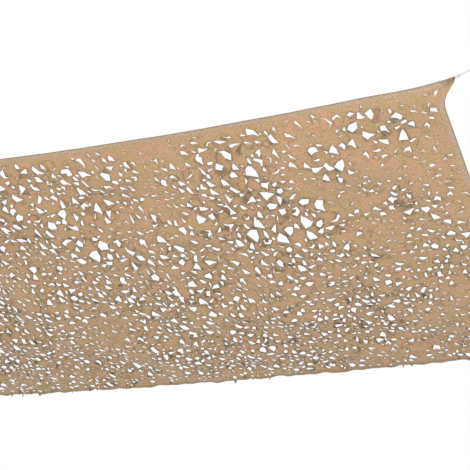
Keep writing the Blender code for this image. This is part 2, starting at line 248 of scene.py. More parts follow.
    def place(self, flat: np.ndarray) -> np.ndarray:
        """Where points of the flat cloth's middle surface hang.

        Args:
            flat: Points of the flat cloth, centred on zero, one to a row.

        Returns:
            Their places in the frame, one to a row.
        """
        x, y = flat[:, 0], flat[:, 1]
        u, v = x / self.length + 0.5, y / self.width + 0.5
        found = np.zeros((len(flat), 3))
        for corner in CornerName:
            side, end = corner.value
            share = (u if side > 0 else 1 - u) * (v if end > 0 else 1 - v)
            found += share[:, None] * (self.tip(corner) - [side * self.pull, 0, 0])
        round_u, round_v = 4 * u * (1 - u), 4 * v * (1 - v)
        found[:, 0] += self.end_bow * round_v * ((1 - u) ** 3 - u ** 3)
        found[:, 1] += round_u * (self.near_bow * (1 - v) ** 3 - self.far_bow * v ** 3)
        found[:, 2] -= round_u * (self.near_sag * (1 - v) ** 2 + self.far_sag * v ** 2)
        found[:, 2] -= round_v * self.end_sag * (u ** 2 + (1 - u) ** 2)
        found[:, 2] -= self.belly * round_u * round_v
        for corner in CornerName:
            side, end = corner.value
            away = np.hypot(self.length / 2 - side * x, self.width / 2 - end * y)
            found[:, 0] += side * self.pull * np.exp(
                -((away / self.pull_reach) ** self.pull_sharpness)
            )
        inner = np.clip(self.wave_onset * round_u * round_v, 0, 1)
        found[:, 2] += self.wave_height(flat) * inner - self.crease_depth(flat)
        return found

    def slopes(self, flat: np.ndarray) -> tuple[np.ndarray, np.ndarray]:
        """How far the cloth runs in the frame for a metre along its length and its width.

        Args:
            flat: Points of the flat cloth, one to a row.

        Returns:
            The two vectors of each point, one to a row.
        """
        step = 0.004
        along = self.place(flat + [step, 0]) - self.place(flat - [step, 0])
        across = self.place(flat + [0, step]) - self.place(flat - [0, step])
        return along / (2 * step), across / (2 * step)

    def upward(self, flat: np.ndarray) -> np.ndarray:
        """The unit normals of the hanging cloth on its upper side."""
        return directions(np.cross(*self.slopes(flat)))[0]

    def wrinkle_height(self, flat: np.ndarray) -> np.ndarray:
        """The small uneven wrinkles of the cloth.

        Args:
            flat: Points of the flat cloth, one to a row.

        Returns:
            The height at each point.
        """
        draw = random.Random(self.wrinkle_seed)
        height = np.zeros(len(flat))
        for wave in range(self.wrinkle_count):
            length = self.wrinkle_shortest * self.wrinkle_growth ** wave
            heading = draw.uniform(0.0, math.pi)
            start = draw.uniform(0.0, 2 * math.pi)
            run = flat[:, 0] * math.cos(heading) + flat[:, 1] * math.sin(heading)
            turn = 2 * math.pi * run / length + start
            height += self.wrinkle_slope * length * np.sin(turn)
        inner = self.rim_distance(flat) / self.wrinkle_edge_reach
        return height * np.clip(inner, self.wrinkle_edge_share, 1.0)

    def pleat_relief(self, flat: np.ndarray) -> np.ndarray:
        """The pleats that fan out from the gathered tips.

        Args:
            flat: Points of the flat cloth, one to a row.

        Returns:
            The height at each point.
        """
        along, across = self.insets(flat).T
        away = self.corner_distance(flat)
        fan = np.sin(self.pleat_count * np.arctan2(across, along) + self.pleat_start)
        relief = self.pleat_height * fan * np.clip(away / self.pleat_rise, 0, 1)
        return relief * np.exp(-away / self.pleat_reach)

    def flutter_height(self, flat: np.ndarray) -> np.ndarray:
        """The short uneven ripples of the slack far edge.

        Args:
            flat: Points of the flat cloth, one to a row.

        Returns:
            The height at each point.
        """
        ripple = sum(
            share * np.sin(2 * math.pi * flat[:, 0] / length + start)
            for length, start, share in self.flutter_waves
        )
        inside = np.clip(self.far_distance(flat), 0, None)
        slack = np.clip(self.corner_distance(flat) / self.flutter_rise, 0, 1)
        return self.flutter * ripple * np.exp(-inside / self.flutter_reach) * slack

    def surface(self, flat: np.ndarray, lift: np.ndarray) -> np.ndarray:
        """Where points lifted off the wrinkled cloth stand.

        Args:
            flat: Points of the flat cloth; they may lie a little outside its edges.
            lift: How far each stands above the cloth's middle surface.

        Returns:
            Their places in the frame, one to a row.
        """
        inner = np.clip(flat, -self.half, self.half)
        beyond = flat - inner
        along, across = self.slopes(inner)
        height = self.wrinkle_height(inner) + self.pleat_relief(inner)
        height += self.flutter_height(inner) + lift
        found = self.place(inner) + self.upward(inner) * height[:, None]
        return found + beyond[:, :1] * along + beyond[:, 1:] * across


@dataclass(frozen=True)
class LeafCut:
    """One leaf cut of the flat cloth."""

    x: float
    y: float
    length: float
    width: float
    turn: float
    shape: LeafShape
    gape: float
    stretch: float

    def local(self) -> np.ndarray:
        """Its outline in metres, as (along, across) from the middle of its length."""
        points = np.array(self.shape.value)
        return (points - [0.5, 0.0]) * [self.length, self.width]

    def to_flat(self, local: np.ndarray) -> np.ndarray:
        """Points of the leaf carried to the flat cloth.

        Args:
            local: Points as (along, across) in metres from the middle of the leaf.

        Returns:
            Their places on the flat cloth.
        """
        cos, sin = math.cos(self.turn), math.sin(self.turn)
        turned = local @ np.array([[cos, sin], [-sin, cos]])
        return turned * [1.0, self.stretch] + [self.x, self.y]

    @property
    def reach(self) -> float:
        """The radius of a circle round the whole cut before its rows are drawn out."""
        return max(math.hypot(a, b) for a, b in self.local())

    def resized(self, share: float) -> "LeafCut":
        """The same cut at another size."""
        return replace(self, length=self.length * share, width=self.width * share)


def directions(rows: np.ndarray) -> tuple[np.ndarray, np.ndarray]:
    """The unit directions of vectors, one to a row, and the vectors' lengths."""
    lengths = np.linalg.norm(rows, axis=1)
    return rows / lengths[:, None], lengths


def nearest_tree(spots: np.ndarray | list) -> KDTree:
    """A tree that finds the nearest of some points of the flat cloth.

    Args:
        spots: The points.

    Returns:
        The tree, which knows each point by its number in the list.
    """
    tree = KDTree(len(spots))
    for index, spot in enumerate(spots):
        tree.insert((*spot, 0.0), index)
    tree.balance()
    return tree


def patch_gain(patches: tuple, x: float, y: float) -> float:
    """Adds up what a table of soft oval patches says of one point of the flat cloth.

    Args:
        patches: Rows of place x and y, reach along x and y, turn in degrees, gain.
        x: The point's place along the cloth.
        y: Its place across the cloth.

    Returns:
        The sum of the patches' gains there.
    """
    gain = 0.0
    for patch_x, patch_y, reach_x, reach_y, turn, height in patches:
        angle = math.radians(turn)
        along = (x - patch_x) * math.cos(angle) + (y - patch_y) * math.sin(angle)
        across = (y - patch_y) * math.cos(angle) - (x - patch_x) * math.sin(angle)
        gain += height * math.exp(-((along / reach_x) ** 2) - (across / reach_y) ** 2)
    return gain


@dataclass(frozen=True)
class LeafLayout:
    """The staggered rows of leaf cuts, which gape more where the cloth is stretched."""

    form: SailForm
    hem_width: float
    seed: int = 57
    pitch: float = 0.0355
    stretch: float = 1.30
    jitter: float = 0.33
    leaf_length: float = 0.0308
    growth: float = 0.60
    spread: float = 0.25
    longest: float = 0.052
    turn_spread: float = 62.0
    flipped_share: float = 0.12
    plain_margin: float = -0.006
    corner_plain: float = 0.30
    strand: float = 0.0028
    crowding: float = 0.78
    smallest: float = 0.008
    corner_gape: float = 0.25
    stagger: float = 0.25
    width_shares: tuple[float, float] = (0.45, 1.05)
    shape_shares: tuple = (0.30, 0.28, 0.24, 0.18)
    # place x and y, reach along x and y, turn in degrees, gain
    stretched: tuple = (
        (0.20, -0.93, 0.22, 0.10, 0.0, 1.90), (0.05, -0.58, 0.25, 0.14, 10.0, 0.55),
        (0.13, -0.48, 0.26, 0.06, 45.0, 1.10), (0.42, -0.72, 0.22, 0.12, 10.0, 0.60),
        (0.30, -0.36, 0.24, 0.10, 25.0, 0.90), (0.72, -0.93, 0.18, 0.09, 0.0, -0.60),
        (1.10, -0.74, 0.18, 0.20, -8.0, 1.60), (1.18, -0.43, 0.30, 0.11, 12.0, 2.60),
        (1.10, -0.18, 0.30, 0.12, 20.0, 0.40), (1.70, -0.91, 0.24, 0.10, 5.0, 1.40),
        (1.74, -0.32, 0.26, 0.05, 56.0, 0.90), (1.72, -0.60, 0.26, 0.12, 8.0, -0.50),
        (1.58, -0.48, 0.18, 0.10, 8.0, -0.50), (1.38, -0.86, 0.16, 0.08, 0.0, -0.40),
        (1.48, -0.71, 0.10, 0.09, 0.0, 1.60), (1.35, -0.64, 0.08, 0.08, 0.0, -0.80),
        (1.54, -0.26, 0.24, 0.13, 8.0, -0.55), (1.70, 0.08, 0.16, 0.12, 0.0, -0.20),
        (0.72, -0.62, 0.16, 0.14, 8.0, -0.30), (0.60, -0.28, 0.16, 0.14, 8.0, 0.25),
        (0.47, -0.06, 0.20, 0.12, 8.0, 0.40), (0.38, 0.17, 0.20, 0.12, 10.0, 1.00),
        (0.23, 0.48, 0.22, 0.12, 10.0, 0.30), (1.32, 0.42, 0.30, 0.12, -15.0, 0.30),
        (1.62, 0.46, 0.16, 0.14, 0.0, -0.40), (0.45, 0.94, 0.40, 0.08, 0.0, -0.40),
        (0.85, 0.86, 0.20, 0.08, 5.0, 0.50), (1.20, 0.86, 0.26, 0.08, 0.0, 0.50),
        (-0.06, 0.32, 0.20, 0.14, 0.0, -0.40), (-0.40, -0.60, 0.35, 0.14, 15.0, 0.55),
        (-0.90, -0.10, 0.70, 0.12, 25.0, 0.60), (-1.50, -0.70, 0.40, 0.16, -12.0, 0.80),
        (-1.25, 0.62, 0.60, 0.12, -18.0, 0.55),
    )
    # length of a band along x, along y, start, strength
    slack: tuple = (
        (0.71, 1.30, 0.6, 0.09),
        (-0.53, 0.47, 2.2, 0.08),
        (0.33, -0.61, 4.4, 0.08),
    )

    def gape(self, x: float, y: float) -> float:
        """How much wider than usual the cuts gape at a point of the flat cloth.

        Args:
            x: The point's place along the cloth.
            y: Its place across the cloth.

        Returns:
            The share, 1 for the usual gape.
        """
        share = 1.0 + patch_gain(self.stretched, x, y)
        for along_x, along_y, start, strength in self.slack:
            share += strength * math.sin(2 * math.pi * (x / along_x + y / along_y) + start)
        away = math.hypot(self.form.length / 2 - abs(x), self.form.width / 2 - abs(y))
        growth = (1 - self.corner_gape) * away / self.corner_plain
        return share * min(1.0, self.corner_gape + growth)

    def drawn(self) -> list[LeafCut]:
        """Every cut as it is first drawn, largest first.

        Returns:
            The cuts, which may still run into one another.
        """
        draw = random.Random(self.seed)
        margin = self.hem_width + self.plain_margin
        row_pitch = self.pitch * self.stretch
        columns = round((self.form.length - 2 * margin) / self.pitch)
        rows = round((self.form.width - 2 * margin) / row_pitch)
        cuts = []
        for row in range(rows):
            for column in range(columns):
                stagger = self.stagger if row % 2 else -self.stagger
                x = (column + 0.5 + stagger - columns / 2) * self.pitch
                y = (row + 0.5 - rows / 2) * row_pitch
                x += draw.uniform(-self.jitter, self.jitter) * self.pitch
                y += draw.uniform(-self.jitter, self.jitter) * row_pitch
                gape = self.gape(x, y) * draw.lognormvariate(0.0, self.spread)
                length = min(self.leaf_length * gape ** self.growth, self.longest)
                width = length * draw.uniform(*self.width_shares)
                facing = 90.0 if draw.random() < self.flipped_share else -90.0
                turn = math.radians(facing + draw.gauss(0.0, self.turn_spread))
                shape = draw.choices(list(LeafShape), self.shape_shares)[0]
                cuts.append(LeafCut(x, y, length, width, turn, shape, gape, self.stretch))
        return sorted(cuts, key=lambda cut: -cut.length * cut.width)

    def cuts(self) -> list[LeafCut]:
        """Every cut, the smaller ones shrunk to leave a strand of cloth between them.

        Returns:
            The cuts of the finished net, largest first as drawn.
        """
        drawn = self.drawn()
        spots = [Vector((cut.x, cut.y / self.stretch)) for cut in drawn]
        tree = nearest_tree(spots)
        half_length = self.form.length / 2 - self.hem_width
        half_width = (self.form.width / 2 - self.hem_width) / self.stretch
        kept: dict[int, LeafCut] = {}
        for index, (cut, spot) in enumerate(zip(drawn, spots)):
            room = min(half_length - abs(spot.x), half_width - abs(spot.y)) - self.strand
            for _, other, away in tree.find_range((*spot, 0.0), 2 * self.longest):
                if other in kept:
                    room = min(room, away - kept[other].reach * self.crowding - self.strand)
            share = min(1.0, room / cut.reach / self.crowding)
            if cut.length * share >= self.smallest:
                kept[index] = cut.resized(share)
        return list(kept.values())


def start_material(
    name: str, roughness: float, specular: float = 0.5
) -> tuple[bpy.types.Material, bpy.types.Node]:
    """Starts a node material and sets its shader's roughness and specular level.

    Args:
        name: The material's name.
        roughness: The shader's roughness.
        specular: Its specular level.

    Returns:
        The material and its shader node.
    """
    made = bpy.data.materials.new(name)
    made.use_nodes = True
    shader = made.node_tree.nodes["Principled BSDF"]
    shader.inputs["Roughness"].default_value = roughness
    shader.inputs["Specular IOR Level"].default_value = specular
    return made, shader


def add_relief(
    made: bpy.types.Material, shader: bpy.types.Node, height: bpy.types.NodeSocket, strength: float
) -> None:
    """Raises a material's fine relief.

    Args:
        made: The material.
        shader: Its shader node.
        height: The socket that gives the height.
        strength: The strength of the relief.
    """
    bump = made.node_tree.nodes.new("ShaderNodeBump")
    bump.inputs["Strength"].default_value = strength
    bump.inputs["Distance"].default_value = RELIEF_DEPTH
    made.node_tree.links.new(height, bump.inputs["Height"])
    made.node_tree.links.new(bump.outputs["Normal"], shader.inputs["Normal"])


@dataclass(frozen=True)
class ClothFinish:
    """A matt coated weave with a soft mottle, and painted shade laid on by its edge attribute."""

    name: str
    base: Colour
    warm: Colour
    olive: Colour
    # colour of the painted shade that the edge attribute lays on cut rims, leaves, folds, the far
    # edge and the tips
    edge: Colour = (0.066, 0.052, 0.029)
    edge_start: float = 0.18
    grain_dark: Colour = (0.76, 0.77, 0.78)
    grain_pale: Colour = (1.17, 1.16, 1.15)
    roughness: float = 0.82
    specular: float = 0.25
    sheen: float = 0.12
    # scale and detail, offset along and across, and the two values it is spread between
    warm_mottle: tuple = (16.0, 3.0, (3.10, 2.17), 0.46, 0.62)
    olive_mottle: tuple = (19.0, 3.0, (8.40, 5.88), 0.50, 0.68)
    grain_mottle: tuple = (150.0, 2.0, (5.20, 3.64), 0.30, 0.70)
    mottle_stretch: tuple[float, float] = (4.0, 1.3)
    weave_stretch: tuple[float, float] = (4.0, 2.0)
    weave_scale: float = 260.0
    weave_waver: float = 0.6
    weave_relief: float = 0.25

    def material(self) -> bpy.types.Material:
        """Builds the node material.

        Returns:
            The material.
        """
        made, shader = start_material(self.name, self.roughness, self.specular)
        shader.inputs["Sheen Weight"].default_value = self.sheen
        nodes, links = made.node_tree.nodes, made.node_tree.links
        cloth_map = nodes.new("ShaderNodeUVMap")
        cloth_map.uv_map = "cloth"

        def mapped(stretch: tuple, offset: tuple = (0.0, 0.0)) -> bpy.types.NodeSocket:
            """The map of the flat cloth, stretched and moved.

            Args:
                stretch: How many times it is drawn together along and across.
                offset: How far it is moved along and across.

            Returns:
                The socket that gives the place.
            """
            place = nodes.new("ShaderNodeMapping")
            place.inputs["Location"].default_value = (*offset, 0.0)
            place.inputs["Scale"].default_value = (*stretch, 1.0)
            links.new(cloth_map.outputs["UV"], place.inputs["Vector"])
            return place.outputs["Vector"]

        def spread(value: bpy.types.NodeSocket, low: float, high: float) -> bpy.types.NodeSocket:
            """Spreads a value between two limits to 0 and 1.

            Args:
                value: The value's socket.
                low: The limit that becomes 0.
                high: The limit that becomes 1.

            Returns:
                The socket that gives the spread value.
            """
            limits = nodes.new("ShaderNodeMapRange")
            limits.inputs["From Min"].default_value = low
            limits.inputs["From Max"].default_value = high
            links.new(value, limits.inputs["Value"])
            return limits.outputs["Result"]

        def mottle(
            scale: float, detail: float, offset: tuple, low: float, high: float
        ) -> bpy.types.NodeSocket:
            """A noise over the flat cloth, spread between two of its values.

            Args:
                scale: The scale of the noise.
                detail: Its detail.
                offset: How far it is moved along and across.
                low: The value that becomes 0.
                high: The value that becomes 1.

            Returns:
                The socket that gives the noise.
            """
            texture = nodes.new("ShaderNodeTexNoise")
            texture.inputs["Scale"].default_value = scale
            texture.inputs["Detail"].default_value = detail
            links.new(mapped(self.mottle_stretch, offset), texture.inputs["Vector"])
            return spread(texture.outputs[0], low, high)

        def mix(
            below: Colour | bpy.types.NodeSocket, above: Colour | bpy.types.NodeSocket,
            share: float | bpy.types.NodeSocket, blend: str = "MIX",
        ) -> bpy.types.NodeSocket:
            """Mixes a colour or its socket with another by a share.

            Args:
                below: The first colour.
                above: The second colour.
                share: How much of the second shows, as a number or a socket.
                blend: How the second is laid over the first.

            Returns:
                The socket that gives the mixed colour.
            """
            blender = nodes.new("ShaderNodeMix")
            blender.data_type = "RGBA"
            blender.blend_type = blend
            for socket, value in ((6, below), (7, above), (0, share)):
                if isinstance(value, bpy.types.NodeSocket):
                    links.new(value, blender.inputs[socket])
                elif isinstance(value, tuple):
                    blender.inputs[socket].default_value = (*value, 1.0)
                else:
                    blender.inputs[socket].default_value = value
            return blender.outputs[2]

        colour = mix(self.base, self.warm, mottle(*self.warm_mottle))
        colour = mix(colour, self.olive, mottle(*self.olive_mottle))
        grain = mix(self.grain_dark, self.grain_pale, mottle(*self.grain_mottle))
        colour = mix(colour, grain, 1.0, "MULTIPLY")
        # painted shade: the colour darkens towards the edge colour where the edge attribute is high
        painted_shade = nodes.new("ShaderNodeAttribute")
        painted_shade.attribute_name = "edge"
        colour = mix(colour, self.edge, spread(painted_shade.outputs["Fac"], self.edge_start, 1.0))
        links.new(colour, shader.inputs["Base Color"])

        weave_map = mapped(self.weave_stretch)
        cross = nodes.new("ShaderNodeMath")
        cross.operation = "MULTIPLY"
        for number, direction in enumerate("XY"):
            thread = nodes.new("ShaderNodeTexWave")
            thread.bands_direction = direction
            thread.inputs["Scale"].default_value = self.weave_scale
            thread.inputs["Distortion"].default_value = self.weave_waver
            links.new(weave_map, thread.inputs["Vector"])
            links.new(thread.outputs["Fac"], cross.inputs[number])
        add_relief(made, shader, cross.outputs["Value"], self.weave_relief)
        return made


@dataclass(frozen=True)
class CordFinish:
    """A pale braided cord, greyed by weather."""

    name: str
    pale: Colour
    grey: Colour
    roughness: float = 0.70
    specular: float = 0.3
    grime_scale: float = 140.0
    grime_detail: float = 4.0
    relief: float = 0.3

    def material(self) -> bpy.types.Material:
        """Builds the node material.

        Returns:
            The material.
        """
        made, shader = start_material(self.name, self.roughness, self.specular)
        nodes, links = made.node_tree.nodes, made.node_tree.links
        place = nodes.new("ShaderNodeTexCoord")
        grime = nodes.new("ShaderNodeTexNoise")
        grime.inputs["Scale"].default_value = self.grime_scale
        grime.inputs["Detail"].default_value = self.grime_detail
        tint = nodes.new("ShaderNodeMix")
        tint.data_type = "RGBA"
        tint.inputs[6].default_value = (*self.pale, 1.0)
        tint.inputs[7].default_value = (*self.grey, 1.0)
        links.new(place.outputs["Object"], grime.inputs["Vector"])
        links.new(grime.outputs[0], tint.inputs[0])
        links.new(tint.outputs[2], shader.inputs["Base Color"])
        add_relief(made, shader, grime.outputs[0], self.relief)
        return made


def new_piece(name: str, verts: np.ndarray | list, faces: list, materials: list) -> bpy.types.Object:
    """Makes a mesh object at the origin.

    Args:
        name: The piece's name.
        verts: Its points in the frame, one to a row.
        faces: Rows of point numbers.
        materials: Its materials, in the order of their slots.

    Returns:
        The new object, in the scene's collection.
    """
    mesh = bpy.data.meshes.new(name)
    mesh.from_pydata([tuple(v) for v in verts], [], [tuple(f) for f in faces])
    mesh.update()
    piece = bpy.data.objects.new(name, mesh)
    bpy.context.scene.collection.objects.link(piece)
    for finish in materials:
        mesh.materials.append(finish)
    return piece


def apply_modifiers(piece: bpy.types.Object) -> None:
    """Replaces a piece's mesh with the one that its modifiers make.

    Args:
        piece: The piece; it is left without modifiers.
    """
    graph = bpy.context.evaluated_depsgraph_get()
    mesh = bpy.data.meshes.new_from_object(piece.evaluated_get(graph))
    piece.modifiers.clear()
    piece.data = mesh


def thicken(piece: bpy.types.Object, thickness: float) -> None:
    """Gives a sheet its two sides: the upper one in slot 0 and the lower one in slot 1.

    Args:
        piece: The sheet, as one layer of faces.
        thickness: Its thickness.
    """
    wall = piece.modifiers.new("thickness", "SOLIDIFY")
    wall.thickness = thickness
    wall.offset = 0.0
    wall.material_offset = 1
    wall.use_quality_normals = True
    apply_modifiers(piece)


def smooth(piece: bpy.types.Object, sharp_degrees: float) -> None:
    """Shades a piece smooth but for its sharp folds."""
    piece.data.shade_smooth()
    piece.data.set_sharp_from_angle(angle=math.radians(sharp_degrees))


def set_cloth_map(piece: bpy.types.Object, flat: np.ndarray, form: SailForm) -> None:
    """Gives a piece the map of the flat cloth, from 0 to 1 over its length and width.

    Args:
        piece: The piece.
        flat: Where its points lie on the flat cloth.
        form: The sail, for the size of the flat cloth.
    """
    layer = piece.data.uv_layers.new(name="cloth")
    loops = np.empty(len(piece.data.loops), np.int32)
    piece.data.loops.foreach_get("vertex_index", loops)
    spot = flat / [form.length, form.width] + 0.5
    layer.uv.foreach_set("vector", spot[loops].astype(np.float32).ravel())


def set_painted_shade(piece: bpy.types.Object, values: np.ndarray) -> None:
    """Marks how much painted shade lies at each point of a piece."""
    layer = piece.data.attributes.new("edge", "FLOAT", "POINT")
    layer.data.foreach_set("value", values.astype(np.float32))


def ride(piece: bpy.types.Object) -> None:
    """Lets a finished piece ride on the sail and logs how many faces it has.

    Args:
        piece: The piece.
    """
    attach(piece, BODY)
    LOG.info("%s: %d faces", piece.name, len(getattr(piece.data, "polygons", ())))


def tube_faces(rings: int, count: int, base: int = 0) -> list[tuple]:
    """The four-sided faces between rings of points that follow one another.

    Args:
        rings: How many rings there are.
        count: How many points each ring has.
        base: The number of the first ring's first point.

    Returns:
        The faces, ring by ring.
    """
    faces = []
    for start in range(base, base + (rings - 1) * count, count):
        for k in range(count):
            a, b = start + k, start + (k + 1) % count
            faces.append((a, b, b + count, a + count))
    return faces


@dataclass
class FlatNet:
    """The points of the flat net while they are laid, and the fixed lines between them."""

    spots: list = field(default_factory=list)
    owners: list = field(default_factory=list)
    lines: list = field(default_factory=list)

    def add(self, spot: tuple, owner: int = -1) -> None:
        """Adds a point and the number of the cut that it belongs to, -1 for none."""
        self.spots.append(tuple(spot))
        self.owners.append(owner)

    def add_ring(self, spots: list, owner: int = -1) -> None:
        """Adds a closed ring of points and the lines between them.

        Args:
            spots: The points, in order.
            owner: The number of their cut, -1 for none.
        """
        start, count = len(self.spots), len(spots)
        for spot in spots:
            self.add(spot, owner)
        self.lines += [(start + i, start + (i + 1) % count) for i in range(count)]


